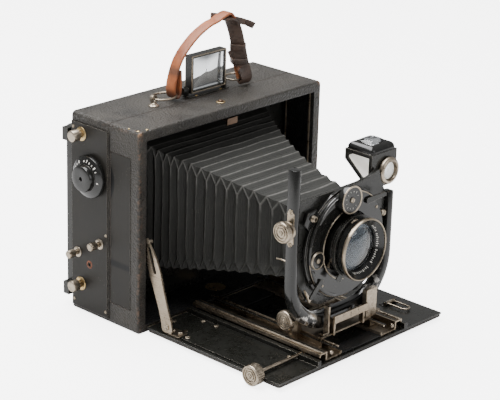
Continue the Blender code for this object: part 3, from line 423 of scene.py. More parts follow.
for look, names in nodeLooks.items():
    for name in names:
        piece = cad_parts[name]
        piece.data.materials.clear()
        piece.data.materials.append(mats[look])
print("materials done")

# Mesh helpers, in millimetres.


def onAxis(axis, u, v, along):
    return {"x": (along, u, v), "y": (u, along, v), "z": (u, v, along)}[axis]


def skin(loops, ring=False):
    verts = [Vector(point) * mm for loop in loops for point in loop]
    count = len(loops[0])
    rows = len(loops)
    faces = []
    for row in range(rows if ring else rows - 1):
        following = (row + 1) % rows
        for col in range(count):
            after = (col + 1) % count
            faces.append((row * count + col, following * count + col,
                          following * count + after, row * count + after))
    if not ring:
        faces.append(tuple(range(count)))
        faces.append(tuple(reversed(range((rows - 1) * count, rows * count))))
    return verts, faces


def circlePoints(centre, radius, count, start=0.0, sweep=math.tau, closed=True):
    steps = count if closed else count - 1
    return [(centre[0] + radius * math.cos(start + sweep * step / steps),
             centre[1] + radius * math.sin(start + sweep * step / steps)) for step in range(count)]


def turnedPart(axis, centre, profile, count=64, knurl=(), depth=0.22, ring=False):
    loops = []
    for index, (radius, along) in enumerate(profile):
        loop = []
        for step, point in enumerate(circlePoints(centre, 1.0, count)):
            reach = radius - (depth if index in knurl and step % 2 else 0.0)
            u = centre[0] + (point[0] - centre[0]) * reach
            v = centre[1] + (point[1] - centre[1]) * reach
            loop.append(onAxis(axis, u, v, along))
        loops.append(loop)
    return skin(loops, ring)


def prismPart(axis, outline, low, high):
    return skin([[onAxis(axis, u, v, low) for u, v in outline],
                 [onAxis(axis, u, v, high) for u, v in outline]])


def boxPart(low, high):
    outline = [(low[0], low[1]), (high[0], low[1]), (high[0], high[1]), (low[0], high[1])]
    return prismPart("z", outline, low[2], high[2])


def tubePart(points, radius, sides=12, ring=False):
    path = [Vector(point) for point in points]
    loops = []
    side = None
    for index, point in enumerate(path):
        before = path[index - 1] if (ring or index > 0) else point
        after = path[(index + 1) % len(path)] if (ring or index < len(path) - 1) else point
        along = (after - before).normalized()
        side = along.orthogonal() if side is None else side - along * side.dot(along)
        side.normalize()
        across = along.cross(side)
        loops.append([point + radius * (math.cos(turn) * side + math.sin(turn) * across)
                      for turn in (math.tau * step / sides for step in range(sides))])
    return skin(loops, ring)


def screwPart(axis, centre, surface, outward, radius, height, slotTurn=0.7):
    base = [(radius * 0.96, surface), (radius, surface + outward * height * 0.15),
            (radius, surface + outward * height * 0.45)]
    parts = [turnedPart(axis, centre, base, 24)]
    gap = math.asin(0.16)
    for half in (0.0, math.pi):
        turns = [slotTurn + half + gap + (math.pi - 2 * gap) * step / 10 for step in range(11)]
        arc = [(radius * math.cos(turn), radius * math.sin(turn)) for turn in turns]
        mid = (0.45 * radius * math.cos(slotTurn + half + math.pi / 2),
               0.45 * radius * math.sin(slotTurn + half + math.pi / 2))
        loops = []
        for level, shrink in ((0.42, 0.0), (0.75, 0.0), (0.92, 0.10), (1.0, 0.28)):
            along = surface + outward * height * level
            loops.append([onAxis(axis, centre[0] + u + (mid[0] - u) * shrink,
                                 centre[1] + v + (mid[1] - v) * shrink, along) for u, v in arc])
        parts.append(skin(loops))
    return parts


def meshPiece(name, verts, faces, look, smooth, bevel=0.0):
    mesh = bpy.data.meshes.new(name)
    mesh.from_pydata(verts, [], faces)
    work = bmesh.new()
    work.from_mesh(mesh)
    bmesh.ops.recalc_face_normals(work, faces=work.faces)
    if bevel:
        sharp = [edge for edge in work.edges
                 if edge.is_manifold and edge.calc_face_angle() > math.radians(32)]
        bmesh.ops.bevel(work, geom=sharp, offset=bevel * mm, segments=2, profile=0.5, affect="EDGES",
                        clamp_overlap=True)
    work.to_mesh(mesh)
    work.free()
    mesh.shade_smooth()
    mesh.set_sharp_from_angle(angle=math.radians(smooth))
    mesh.materials.append(mats[look])
    piece = bpy.data.objects.new(name, mesh)
    bpy.context.scene.collection.objects.link(piece)
    return piece


def makePiece(name, parts, look, body, smooth=40, bevel=0.0, replaced=()):
    verts = []
    faces = []
    for partVerts, partFaces in parts:
        start = len(verts)
        verts += partVerts
        faces += [tuple(start + index for index in face) for face in partFaces]
    piece = meshPiece(name, verts, faces, look, smooth, bevel)
    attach(piece, body)
    if replaced:
        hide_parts(*replaced)
    return piece


def smoothLine(points, steps):  # a smooth curve through points of any length
    ends = [points[0]] + list(points) + [points[-1]]
    line = []
    for index in range(1, len(ends) - 2):
        p0, p1, p2, p3 = (Vector(ends[index + shift]) for shift in (-1, 0, 1, 2))
        for step in range(steps):
            t = step / steps
            line.append(0.5 * (2 * p1 + (p2 - p0) * t + (2 * p0 - 5 * p1 + 4 * p2 - p3) * t * t
                               + (3 * p1 - p0 - 3 * p2 + p3) * t ** 3))
    line.append(Vector(points[-1]))
    return line


# Bellows: four lengths, split at ridges of the folds.

bellowsShape = {"topDepth": 1.2, "sideDepth": 3.6, "corner": 8.5, "skinThickness": 0.5, "ridgeCount": 15,
                "firstRidge": -12.0, "firstSpacing": 4.8, "growth": 1.066, "waviness": 0.5, "steps": 8,
                "sideRub": 0.42}
bellowsLow, bellowsHigh = nodeBox("bellows")


def bellowsSize(y):
    reach = max(0.0, (y + 130.0) / 126.0)
    return 28.0 + 36.0 * reach ** 1.8, 103.0 + 27.0 * reach ** 1.6, 55.0 - 20.0 * reach ** 0.75


def foldHeight(phase, corner):
    # 1 on a ridge, 0 in a valley; corner runs from 0 at the top edge to 1 where the side folds begin
    nearest = min(abs(phase - ridge) for ridge in (corner / 2, 1 - corner / 2, corner / 2 + 1, -corner / 2))
    return 1.0 - 2.0 * nearest


def bellowsLoop(y, phase, inset):
    # one ring of (point, rub, corner); the top folds stand half a fold off the side folds
    shape = bellowsShape
    halfWidth, top, low = bellowsSize(y)
    fade = min(1.0, max(0.15, (-5.0 - y) / 14.0)) * min(1.0, max(0.2, (y + 134.0) / 6.0))
    topDepth, sideDepth = shape["topDepth"] * fade, shape["sideDepth"] * fade
    reach = shape["corner"] * (0.6 + 0.4 * fade)
    rows = shape["steps"] // 2
    edges = []
    for side in (1.0, -1.0):
        for upper in (True, False):
            corner = []
            for row in range(rows + 1):
                share = row / rows
                height = foldHeight(phase, share)
                x = halfWidth - sideDepth * (1.0 - height) * (0.18 + 0.82 * min(1.0, share * 1.5)) - inset
                drop = reach * share + topDepth * (1.0 - height) * (1.0 - share) + inset * (1.0 - share)
                rub = (1.0 if height > 0.99 else 0.0) * (1.0 if upper else 0.3)
                corner.append((side * x, top - drop if upper else low + drop, rub, share))
            edges.append(corner)
    rightTop, rightLow, leftTop, leftLow = edges
    sideHeight, topHeight = foldHeight(phase, 1.0), foldHeight(phase, 0.0)
    sideRub = shape["sideRub"] if sideHeight > 0.99 else 0.0
    points = list(rightLow)
    for step in range(1, 7):
        z = rightLow[-1][1] + (rightTop[-1][1] - rightLow[-1][1]) * step / 7
        points.append((rightTop[-1][0], z, sideRub, 1.0))
    points += rightTop[::-1]
    for step in range(1, 11):
        x = rightTop[0][0] + (leftTop[0][0] - rightTop[0][0]) * step / 11
        points.append((x, rightTop[0][1], 1.0 if topHeight > 0.99 else 0.0, 0.0))
    points += leftTop
    for step in range(1, 7):
        z = leftTop[-1][1] + (leftLow[-1][1] - leftTop[-1][1]) * step / 7
        points.append((leftTop[-1][0], z, sideRub, 1.0))
    points += leftLow[::-1]
    for step in range(1, 7):
        x = leftLow[0][0] + (rightLow[0][0] - leftLow[0][0]) * step / 7
        points.append((x, leftLow[0][1], 0.0, 0.0))
    loop = []
    for x, z, rub, share in points:
        shift = shape["waviness"] * noise.noise(Vector((x * 0.04, y * 0.11, z * 0.04))) * fade
        loop.append(((x, y + 2.2 * shift, z + shift * (0.8 if share < 0.5 else 0.0)), rub, share))
    return loop


def bellowsStations():
    shape = bellowsShape
    ridges = [bellowsHigh[1], shape["firstRidge"]]
    for index in range(shape["ridgeCount"]):
        ridges.append(ridges[-1] - shape["firstSpacing"] * shape["growth"] ** index)
    stations = []
    for near, far in zip(ridges, ridges[1:]):
        for step in range(shape["steps"]):
            stations.append((near + (far - near) * step / shape["steps"], step / shape["steps"]))
    stations = [station for station in stations if station[0] > bellowsLow[1] + 1.6]
    return stations + [(bellowsLow[1] + 0.8, 0.25), (bellowsLow[1], 0.25)]


def bellowsSkin(rows, half):  # quads, cut where a corner strip turns a top fold into a side fold
    verts = [Vector(corner[0]) * mm for row in rows for corner in row]
    count = len(rows[0])
    faces = []
    for row in range(len(rows)):
        following = (row + 1) % len(rows)
        for col in range(count):
            after = (col + 1) % count
            a, d = row * count + col, row * count + after
            b, c = following * count + col, following * count + after
            change = rows[row][after][2] - rows[row][col][2]
            if change == 0.0 or row >= half:
                faces.append((a, b, c, d))
                continue
            if (change > 0.0) == (row % bellowsShape["steps"] < bellowsShape["steps"] // 2):
                faces += [(a, b, c), (a, c, d)]
            else:
                faces += [(a, b, d), (b, c, d)]
    return verts, faces


def makeBellows():
    lengths = (("bellows_back", "root", "carriage", -30.0),
               ("bellows_middle", "carriage", "standard", -96.0),
               ("bellows_shift", "standard", "cross_frame", -108.0),
               ("bellows_front", "cross_frame", "lens_panel", -134.3))
    stations = bellowsStations()
    steps = bellowsShape["steps"]
    first = 0
    for name, bodyA, bodyB, end in lengths:
        last = min(range(0, len(stations), steps), key=lambda index: abs(stations[index][0] - end))
        last = len(stations) - 1 if name == "bellows_front" else last
        chosen = stations[first:last + 1]
        first = last
        rows = [bellowsLoop(y, phase, 0.0) for y, phase in chosen]
        rows += [bellowsLoop(y, phase, bellowsShape["skinThickness"]) for y, phase in reversed(chosen)]
        verts, faces = bellowsSkin(rows, len(chosen) - 1)
        piece = meshPiece(name, verts, faces, "bellows", 24)
        rubs = piece.data.attributes.new("ridge", "FLOAT", "POINT")
        rubs.data.foreach_set("value", [corner[1] for row in rows for corner in row])
        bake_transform(piece)
        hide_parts("bellows")


makeBellows()
print("bellows done")

# Handle: strap, keepers, buckle and free end.

strapShape = {"halfWidth": 4.6, "thickness": 2.2}
eyeZ = middle("handle_ring_left")[2]
ringLeftHigh = nodeBox("handle_ring_left")[1]
ringRightLow = nodeBox("handle_ring_right")[0]
strapY = middle("handle_ring_left")[1]


def strapPart(line, halfWidth, thickness):
    # each point is (x, y, z, turn); turn swings the width from Y towards X, in degrees
    loops = []
    last = len(line) - 1
    for index, point in enumerate(line):
        along = (line[min(index + 1, last)] - line[max(index - 1, 0)]).to_3d().normalized()
        turn = math.radians(point[3])
        across = Vector((math.sin(turn), math.cos(turn), 0.0))
        across = (across - along * across.dot(along)).normalized()
        thick = along.cross(across).normalized() * thickness / 2.0
        loop = []
        for step in range(16):  # a rounded section, fuller in the middle
            angle = math.tau * step / 16
            u = math.copysign(abs(math.cos(angle)) ** 0.35, math.cos(angle)) * halfWidth
            v = math.copysign(abs(math.sin(angle)) ** 0.55, math.sin(angle))
            loop.append(point.to_3d() + across * u + thick * v)
        loops.append(loop)
    return skin(loops)


def strapLine(points, steps=6):
    return smoothLine([Vector(point) for point in points], steps)


bodyTop = round(nodeBox("front_body")[1][2], 3)
leftX = ringLeftHigh[0] - 0.8
loopR = 2.3
half, thick = strapShape["halfWidth"], strapShape["thickness"]
tanLine = [(leftX + 2.6, strapY, 172.0, 0.0), (leftX + 2.9, strapY, 163.0, 0.0),
           (leftX + 2.2, strapY, eyeZ - 0.6, 0.0),
           (leftX, strapY, eyeZ - loopR, 0.0), (leftX - 2.4, strapY, eyeZ - 0.4, 0.0),
           (leftX - 2.9, strapY, 163.0, 0.0),
           (-19.4, strapY, 179.5, 0.0), (-6.0, strapY, 192.2, 0.0), (8.0, strapY, 199.4, 0.0),
           (17.0, strapY, 201.6, 0.0),
           (22.0, strapY, 203.6, 0.0), (27.0, strapY, 205.0, 0.0), (31.0, strapY, 204.8, 0.0),
           (34.4, strapY, 201.0, 0.0)]
makePiece("strap_long", [strapPart(strapLine(tanLine), half, thick)], "strap", "handle", 60,
          replaced=("handle_strap",))
rightY = ringRightLow[1] + 0.8
darkLine = [(25.0, strapY, 201.8, 0.0), (32.0, strapY, 200.4, -12.0), (37.0, strapY - 0.6, 193.0, -34.0),
            (39.4, strapY - 2.4, 181.0, -40.0), (40.6, strapY - 5.2, 168.0, -56.0),
            (41.0, rightY - 2.4, eyeZ + 2.0, -88.0),
            (41.0, rightY, eyeZ - loopR, -90.0), (41.0, rightY + 2.4, eyeZ + 2.0, -88.0),
            (40.8, rightY + 4.0, 165.0, -62.0), (39.6, strapY + 1.6, 176.0, -40.0)]
makePiece("strap_short", [strapPart(strapLine(darkLine), half * 1.16, thick)], "strapDark", "handle", 60)
tipLine = [(34.0, strapY - 1.0, 199.6, -50.0), (43.0, strapY - 5.0, 197.2, -50.0),
           (49.0, strapY - 9.0, 194.0, -50.0)]
makePiece("strap_tip", [strapPart(strapLine(tipLine), half * 0.55, thick * 0.7)], "strapDark", "handle", 60)


def keeperPart(x, y, z, turn, reachAcross, reachThrough, width, lean=0.0):
    # a leather band round the strap: turn as for the strap, lean tips it along the strap
    across = Vector((math.sin(math.radians(turn)), math.cos(math.radians(turn)), 0.0))
    through = Vector((math.cos(math.radians(turn)), -math.sin(math.radians(turn)), 0.0))
    points = []
    for step in range(32):
        angle = math.tau * step / 32
        u = math.copysign(abs(math.cos(angle)) ** 0.4, math.cos(angle)) * reachAcross
        v = math.copysign(abs(math.sin(angle)) ** 0.4, math.sin(angle)) * reachThrough
        points.append((Vector((x, y, z)) + across * u + through * v, across * u + through * v))
    up = (Vector((0.0, 0.0, 1.0)) + lean * through).normalized() * width / 2.0
    loops = []
    for point, out in points:
        outward = out.normalized() * 0.55
        loops.append([point - up - outward, point + up - outward, point + up + outward, point - up + outward])
    return skin(loops, ring=True)


keepers = [keeperPart(39.4, strapY - 2.6, 178.6, -38.0, half + 0.7, 3.6, 5.0, -0.1),
           keeperPart(40.2, strapY - 2.8, 168.4, -56.0, half + 0.7, 5.6, 4.0, 0.0)]
makePiece("strap_keepers", keepers, "strapDark", "handle", 50, bevel=0.2)

buckleLow, buckleHigh = nodeBox("handle_buckle")


def bucklePart():  # a stiff leather slab the strap passes under, with a pin in the strap's hole
    middleX, middleY = (buckleLow[0] + buckleHigh[0]) / 2, (buckleLow[1] + buckleHigh[1]) / 2
    line = [(middleX + 11.0 * share, middleY - 6.4 * share, 201.2 - 2.9 * share - 0.6 * share * share, -62.0)
            for share in (-1.0, -0.55, 0.0, 0.55, 1.0)]
    return [strapPart(strapLine(line, 4), 2.4, 1.9)]


makePiece("buckle_slab", bucklePart(), "strapDark", "handle", 50,
          replaced=("handle_buckle",))
pin = turnedPart("z", (28.4, strapY), ((1.3, 205.2), (1.5, 206.0), (0.9, 206.15), (0.3, 206.15)), 20)
makePiece("buckle_pin", [pin], "brass", "handle", 50)
flanges = []
for name in ("handle_post_left", "handle_post_right"):
    post = middle(name)
    for profile, count in ((((3.9, 0.05), (3.9, 0.5), (3.3, 1.0), (2.2, 1.3)), 32),
                           (((1.0, 2.9), (1.9, 2.4), (2.3, 1.9), (1.9, 1.2)), 24)):
        raised = [(radius, bodyTop + height) for radius, height in profile]
        flanges.append(turnedPart("z", (post[0], post[1]), raised, count))
makePiece("post_flanges", flanges, "nickel", "root", 50)
print("handle done")

# Knobs.


def groovedFace(radius, face, outward, grooves, start):  # a turned face with rings cut in it
    profile = [(radius, start), (radius - 0.5, face - outward * 0.15), (radius - 0.9, face)]
    for groove in grooves:
        profile += [(groove + 0.6, face), (groove + 0.4, face - outward * 0.8),
                    (groove - 0.4, face - outward * 0.8),
                    (groove - 0.6, face)]
    return profile


knobShapes = {
    "focus_knob": {"body": "focus_drive", "grooves": (5.4, 3.6), "stem": 1.3, "collar": [], "rear": None},
    "shift_knob": {"body": "shift_knob", "grooves": (5.4, 3.6), "stem": 1.2,
                   "collar": [(1.2, -36.0), (4.6, -36.0), (4.6, -38.2)], "rear": -38.6},
    "rise_knob": {"body": "rise_knob", "grooves": (5.6, 3.6), "stem": 1.4,
                  "collar": [(1.4, -55.0), (5.4, -55.0), (6.4, -55.6), (6.4, -57.0), (5.6, -57.6),
                             (4.2, -57.8),
                             (4.2, -59.3)], "rear": -59.5},
}


def knobPiece(name, shape):
    low, high = nodeBox(name)
    centre = centreAcross(name, "x")
    radius = (high[1] - low[1]) / 2
    face = low[0]
    rear = shape["rear"] or high[0]
    profile = [(shape["stem"], high[0]), *shape["collar"], (radius - 0.6, rear), (radius, rear - 0.5)]
    knurled = [len(profile) - 1, len(profile)]
    profile += groovedFace(radius, face, -1, shape["grooves"], face + 0.7)
    profile += [(1.9, face), (1.9, face + 0.3)]
    parts = [turnedPart("x", centre, profile, 72, knurled)]
    parts += screwPart("x", centre, face + 0.35, -1, 1.55, 0.9, 0.5)
    makePiece(name + "_turned", parts, "nickel", shape["body"], 35, replaced=(name,))


for name in ("focus_knob", "shift_knob", "rise_knob"):
    knobPiece(name, knobShapes[name])


def makeWindingKnob():
    high = nodeBox("winding_knob")[1]
    centre = centreAcross("winding_knob", "x")
    profile = [(2.0, high[0]), (2.0, -94.7), (14.6, -94.7), (15.5, -95.4), (15.5, -97.6), (15.0, -98.3),
               (14.3, -98.7),
               (10.4, -100.4), (9.9, -100.5), (9.7, -101.2), (9.7, -103.6), (9.2, -104.5), (8.0, -104.9),
               (5.0, -105.0),
               (1.6, -104.8), (1.3, -104.2), (0.9, -103.2)]
    makePiece("winding_knob_turned", [turnedPart("x", centre, profile, 96, (3, 4), 0.35)], "enamelGloss",
              "winding", 30, replaced=("winding_knob",))
    marks = []
    strokes = {"count": 20, "start": -1.15, "pitch": math.tau / 27, "inner": 11.2, "outer": 12.5,
               "lift": 0.10}
    for index in range(strokes["count"]):  # worn dial strokes, not letters
        if noise.noise(Vector((index * 1.7, 0.3, 0.9))) < -0.22:
            continue
        angle = strokes["start"] + index * strokes["pitch"]
        inner, outer = strokes["inner"], strokes["outer"] + 0.7 * (index % 3 == 0)
        width = 0.035 + 0.02 * (index % 2)
        outline = [(inner, -width), (outer, -width * 0.8), (outer, width * 0.8), (inner, width)]
        loops = []
        for lift in (0.0, strokes["lift"]):
            loops.append([(-98.68 - (14.3 - reach) * 0.436 - lift,
                           centre[0] + reach * math.cos(angle + spread),
                           centre[1] + reach * math.sin(angle + spread)) for reach, spread in outline])
        marks.append(skin(loops))
    makePiece("winding_marks", marks, "marks", "winding", 30)


makeWindingKnob()

# Fittings on the side plate.


def makeSideFittings():
    plateX = nodeBox("side_plate")[0][0]
    pins = (("back_catch_upper", "brass", "catch_upper"), ("back_catch_lower", "brass", "catch_lower"),
            ("release_pin", "nickel", "release_pin"), ("time_pin", "nickel", "time_pin"))
    for name, look, body in pins:
        low, high = nodeBox(name)
        centre = centreAcross(name, "x")
        radius = (high[1] - low[1]) / 2
        stem = 2.0 if radius > 3.5 else 1.5
        face = low[0]
        profile = [(stem, high[0]), (stem, -97.2), (stem + 0.5, -97.6), (radius, -98.2), (radius, -102.6)]
        profile += [(radius - 0.3, face + 0.3), (radius - 0.9, face), (radius * 0.5, face), (0.4, face)]
        knurled = (4,) if radius > 3.5 else ()
        makePiece(name + "_turned", [turnedPart("x", centre, profile, 40, knurled, 0.12)], "nickel",
                  body, 35, replaced=(name,))
        collar = [(stem + 0.35, plateX + 0.1), (radius + 0.9, plateX + 0.1), (radius + 0.9, plateX - 0.35),
                  (radius + 0.3, plateX - 0.75), (stem + 0.45, plateX - 0.8)]
        makePiece(name + "_collar", [turnedPart("x", centre, collar, 36, ring=True)], look, "root", 35)
    holeRing = [(1.7, plateX + 0.05), (3.1, plateX + 0.05), (2.8, plateX - 0.12), (1.9, plateX - 0.2)]
    makePiece("plain_hole_ring", [turnedPart("x", (15.3, 39.5), holeRing, 30, ring=True)], "rust", "root", 35)
    strips = [boxPart((-93.75, -4.6, 3.6), (-93.1, -3.2, 143.8)),
              boxPart((-93.45, -26.2, 16.2), (-93.15, -25.4, 130.2))]
    makePiece("side_seam_strips", strips, "plate", "root", 30, bevel=0.12)
    heads = []
    for y, z in ((-2.0, 66.5), (31.6, 139.5), (31.6, 8.5), (-1.6, 8.0)):
        heads += screwPart("x", (y, z), plateX + 0.05, -1, 1.1, 0.4, 0.9)
    makePiece("side_plate_screws", heads, "nickel", "root", 40)


makeSideFittings()
print("knobs and side fittings done")

# Front standard: frame, shutter and lens.

frameLow, frameHigh = nodeBox("u_frame")
axisZ = middle("lens_barrel")[2]
lensAxis = (0.0, axisZ)
boardFront = nodeBox("lens_board")[0][1]
faceY = nodeBox("shutter_case")[0][1]


def archEdge(halfWidth, low, radius, leftTop, rightTop, steps=14):
    points = [(-halfWidth, leftTop), (-halfWidth, (leftTop + low + radius) / 2)]
    for centreX, start in ((-halfWidth + radius, math.pi), (halfWidth - radius, 1.5 * math.pi)):
        for step in range(steps + 1):
            turn = start + 0.5 * math.pi * step / steps
            points.append((centreX + radius * math.cos(turn), low + radius + radius * math.sin(turn)))
    points.append((halfWidth, (rightTop + low + radius) / 2))
    points.append((halfWidth, rightTop))
    return points


def makeFrame():
    shape = {"arm": 6.3, "footTop": 29.0, "outerRadius": 40.0, "innerRadius": 33.0, "rightTop": 102.0}
    halfWidth = frameHigh[0]
    outer = archEdge(halfWidth, frameLow[2], shape["outerRadius"], frameHigh[2], shape["rightTop"])
    inner = archEdge(halfWidth - shape["arm"], shape["footTop"], shape["innerRadius"], frameHigh[2],
                     shape["rightTop"])
    back, front = frameHigh[1], frameLow[1]
    loops = []
    for out, into in zip(outer, inner):
        loop = [(out[0], back, out[1]), (into[0], back, into[1])]
        for step in range(11):  # the front is rounded from the inner edge to the outer one
            angle = math.pi * step / 10
            share = 0.5 + 0.5 * math.copysign(abs(math.cos(angle)) ** 0.8, math.cos(angle))
            y = front + 3.4 * (1.0 - math.sin(angle) ** 0.8)
            loop.append((out[0] + (into[0] - out[0]) * share, y, out[1] + (into[1] - out[1]) * share))
        loops.append(loop)
    makePiece("standard_frame", [skin(loops)], "frameEnamel", "cross_frame", 38, bevel=0.25,
              replaced=("u_frame",))


def makeShutterTrim():
    parts = [tubePart([(x, faceY - 0.2, z) for x, z in circlePoints(lensAxis, 25.2, 60, 1.7, 2.9, False)],
                      0.45)]
    rim = [(x, faceY - 0.25, z) for x, z in circlePoints(lensAxis, 37.6, 24, 0.72, 0.52, False)]
    parts.append(tubePart(rim, 0.5))
    parts.append(tubePart([(x, faceY + 0.6, z) for x,
                           z in circlePoints(lensAxis, 38.35, 60, 3.3, 1.5, False)], 0.2, 8))
    hook = [(-4.0, -155.4, axisZ + 20.6), (-6.5, -156.6, axisZ + 22.8), (-9.6, -156.2, axisZ + 22.4),
            (-10.4, -155.6, axisZ + 21.0)]
    parts.append(tubePart(hook, 0.55))
    parts.append(turnedPart("y", (-33.4, 103.0), ((1.2, -138.0), (2.4, -138.4), (2.4, -141.6),
                                                  (1.9, -141.8), (2.1, -143.2),
                                                  (1.3, -143.4), (1.2, -140.0)), 28, ring=True))
    parts += screwPart("y", (42.8, 87.6), boardFront - 0.05, -1, 2.3, 3.0, 0.8)
    for x, z, radius in ((-24.5, 52.4, 0.9), (-19.6, 46.0, 0.8), (25.4, 52.5, 1.0), (29.5, 96.5, 1.1)):
        parts += screwPart("y", (x, z), faceY + 0.05, -1, radius, 0.5, x)
    lever = [(-22.6, 66.2), (-20.8, 65.0), (-17.6, 70.8), (-16.4, 77.6), (-18.4, 78.2), (-19.6, 72.0)]
    parts.append(prismPart("y", lever, faceY - 2.6, faceY - 1.4))
    arm = [(-38.6, 52.4), (-36.6, 50.2), (-31.0, 42.8), (-33.2, 40.8)]
    parts.append(prismPart("y", arm, -140.4, -139.0))
    makePiece("shutter_trim", parts, "nickel", "lens_panel", 45)
    arc = circlePoints(lensAxis, 38.1, 16, math.radians(99), math.radians(46), False)
    chord = circlePoints(lensAxis, 32.8, 8, math.radians(143), math.radians(-41), False)
    cover = [prismPart("y", arc + chord, faceY - 0.9, faceY + 0.1)]
    shoulder = [(-41.5, 100.4), (-38.2, 107.6), (-29.5, 108.4), (-27.0, 104.0), (-33.0, 96.4), (-37.0, 95.0)]
    cover.append(prismPart("y", shoulder, -140.6, boardFront + 0.1))
    pocket = circlePoints(lensAxis, 38.1, 14, math.radians(196), math.radians(60), False)
    inner = circlePoints(lensAxis, 35.6, 10, math.radians(254), math.radians(-56), False)
    cover.append(prismPart("y", pocket + inner, faceY - 0.5, faceY + 0.1))
    makePiece("shutter_cover_plate", cover, "enamelGloss", "lens_panel", 35, bevel=0.25)


def makeLens():
    shape = {"radius": 20.4, "rim": 22.3, "glass": 16.2}
    radius, rim = shape["radius"], shape["rim"]
    low, high = nodeBox("lens_barrel")
    front = low[1]
    barrel = [(radius, high[1]), (radius, -146.4), (radius - 0.5, -146.7), (radius - 0.5, -147.5),
              (radius, -147.8),
              (radius, -149.3), (radius - 0.35, -149.6), (radius - 0.35, -152.2), (radius, -152.4),
              (radius, -156.0),
              (radius - 0.6, -156.3), (18.4, -155.7), (16.7, -154.2), (16.6, high[1])]
    makePiece("barrel_turned", [turnedPart("y", lensAxis, barrel, 96, (8, 9), 0.18, ring=True)],
              "enamelGloss",
              "lens_panel", 35, replaced=("lens_barrel",))
    rimProfile = [(rim - 0.9, -157.9), (rim - 0.1, -157.9), (rim, -158.2), (rim, -159.8),
                  (rim - 0.3, front + 0.15),
                  (rim - 0.8, front), (rim - 1.15, front + 0.3), (rim - 1.2, -159.0)]
    makePiece("lens_rim", [turnedPart("y", lensAxis, rimProfile, 96, (3, 4), 0.2, ring=True)],
              "nickelDrawn", "lens_panel", 35)
    bezel = [(radius + 0.1, -156.0), (rim - 0.6, -157.4), (rim - 0.5, -158.0), (rim - 1.1, -159.4),
             (16.9, -154.9),
             (16.9, -153.0)]
    makePiece("lens_bezel", [turnedPart("y", lensAxis, bezel, 96, ring=True)], "enamelGloss", "lens_panel",
              35)
    ticks = []
    strokes = {"count": 34, "gaps": (11, 12, 20, 28), "start": -112.0, "pitch": 4.9, "foot": 17.3,
               "lift": 0.08}
    for index in range(strokes["count"]):  # plain strokes round the bezel, which spell nothing
        if index in strokes["gaps"]:
            continue
        angle = math.radians(strokes["start"] + index * strokes["pitch"])
        tall = 0.85 + 0.35 * (index % 3 == 1)
        spread = 0.013 + 0.008 * (index % 2)
        foot = strokes["foot"]
        loops = []
        for lift in (0.0, strokes["lift"]):
            loops.append([(reach * math.cos(angle + turn), -154.95 - (reach - 16.9) * 1.047 - lift,
                           axisZ + reach * math.sin(angle + turn))
                          for reach, turn in ((foot, -spread), (foot + tall, -spread),
                                              (foot + tall, spread), (foot, spread))])
        ticks.append(skin(loops))
    makePiece("bezel_strokes", ticks, "marks", "lens_panel", 30)
    outer = [(16.4, -150.4), (16.4, -153.8), (14.0, -155.2), (11.0, -156.3), (8.0, -157.1), (5.0, -157.7),
             (2.4, -157.95),
             (0.2, -158.0)]
    inner = [(0.2, -154.4), (4.0, -154.2), (8.0, -153.4), (12.0, -152.2), (15.0, -150.6)]
    makePiece("front_element", [turnedPart("y", lensAxis, outer + inner, 64)], "lens", "lens_panel", 60,
              replaced=("front_lens",))
    second = [(14.0, -147.4), (14.0, -148.8), (10.0, -149.6), (5.0, -150.1), (0.2, -150.3), (0.2, -149.0),
              (6.0, -148.6),
              (11.0, -147.9)]
    makePiece("second_element", [turnedPart("y", lensAxis, second, 56)], "lens", "lens_panel", 60)
    retainer = [(16.5, -149.6), (16.5, -150.4), (15.2, -150.4), (14.2, -149.4), (14.2, -147.0),
                (16.5, -147.0)]
    makePiece("lens_retainer", [turnedPart("y", lensAxis, retainer, 56, ring=True)], "enamelGloss",
              "lens_panel", 40)
    iris = {"blades": 10, "front": -145.2, "back": -145.16, "step": 0.05}
    blades = []
    for index in range(iris["blades"]):
        turn = math.tau * index / iris["blades"]
        outline = []
        for reach, spread in ((15.9, 0.0), (15.9, 0.55), (13.6, 0.95), (8.6, 1.30), (7.4, 0.80), (9.0, 0.25)):
            outline.append((reach * math.cos(turn + spread), axisZ + reach * math.sin(turn + spread)))
        behind = iris["step"] * index
        blades.append(prismPart("y", outline, iris["front"] - behind, iris["back"] - behind))
    makePiece("iris_blades", blades, "enamel", "aperture", 30, replaced=("iris_plate",))


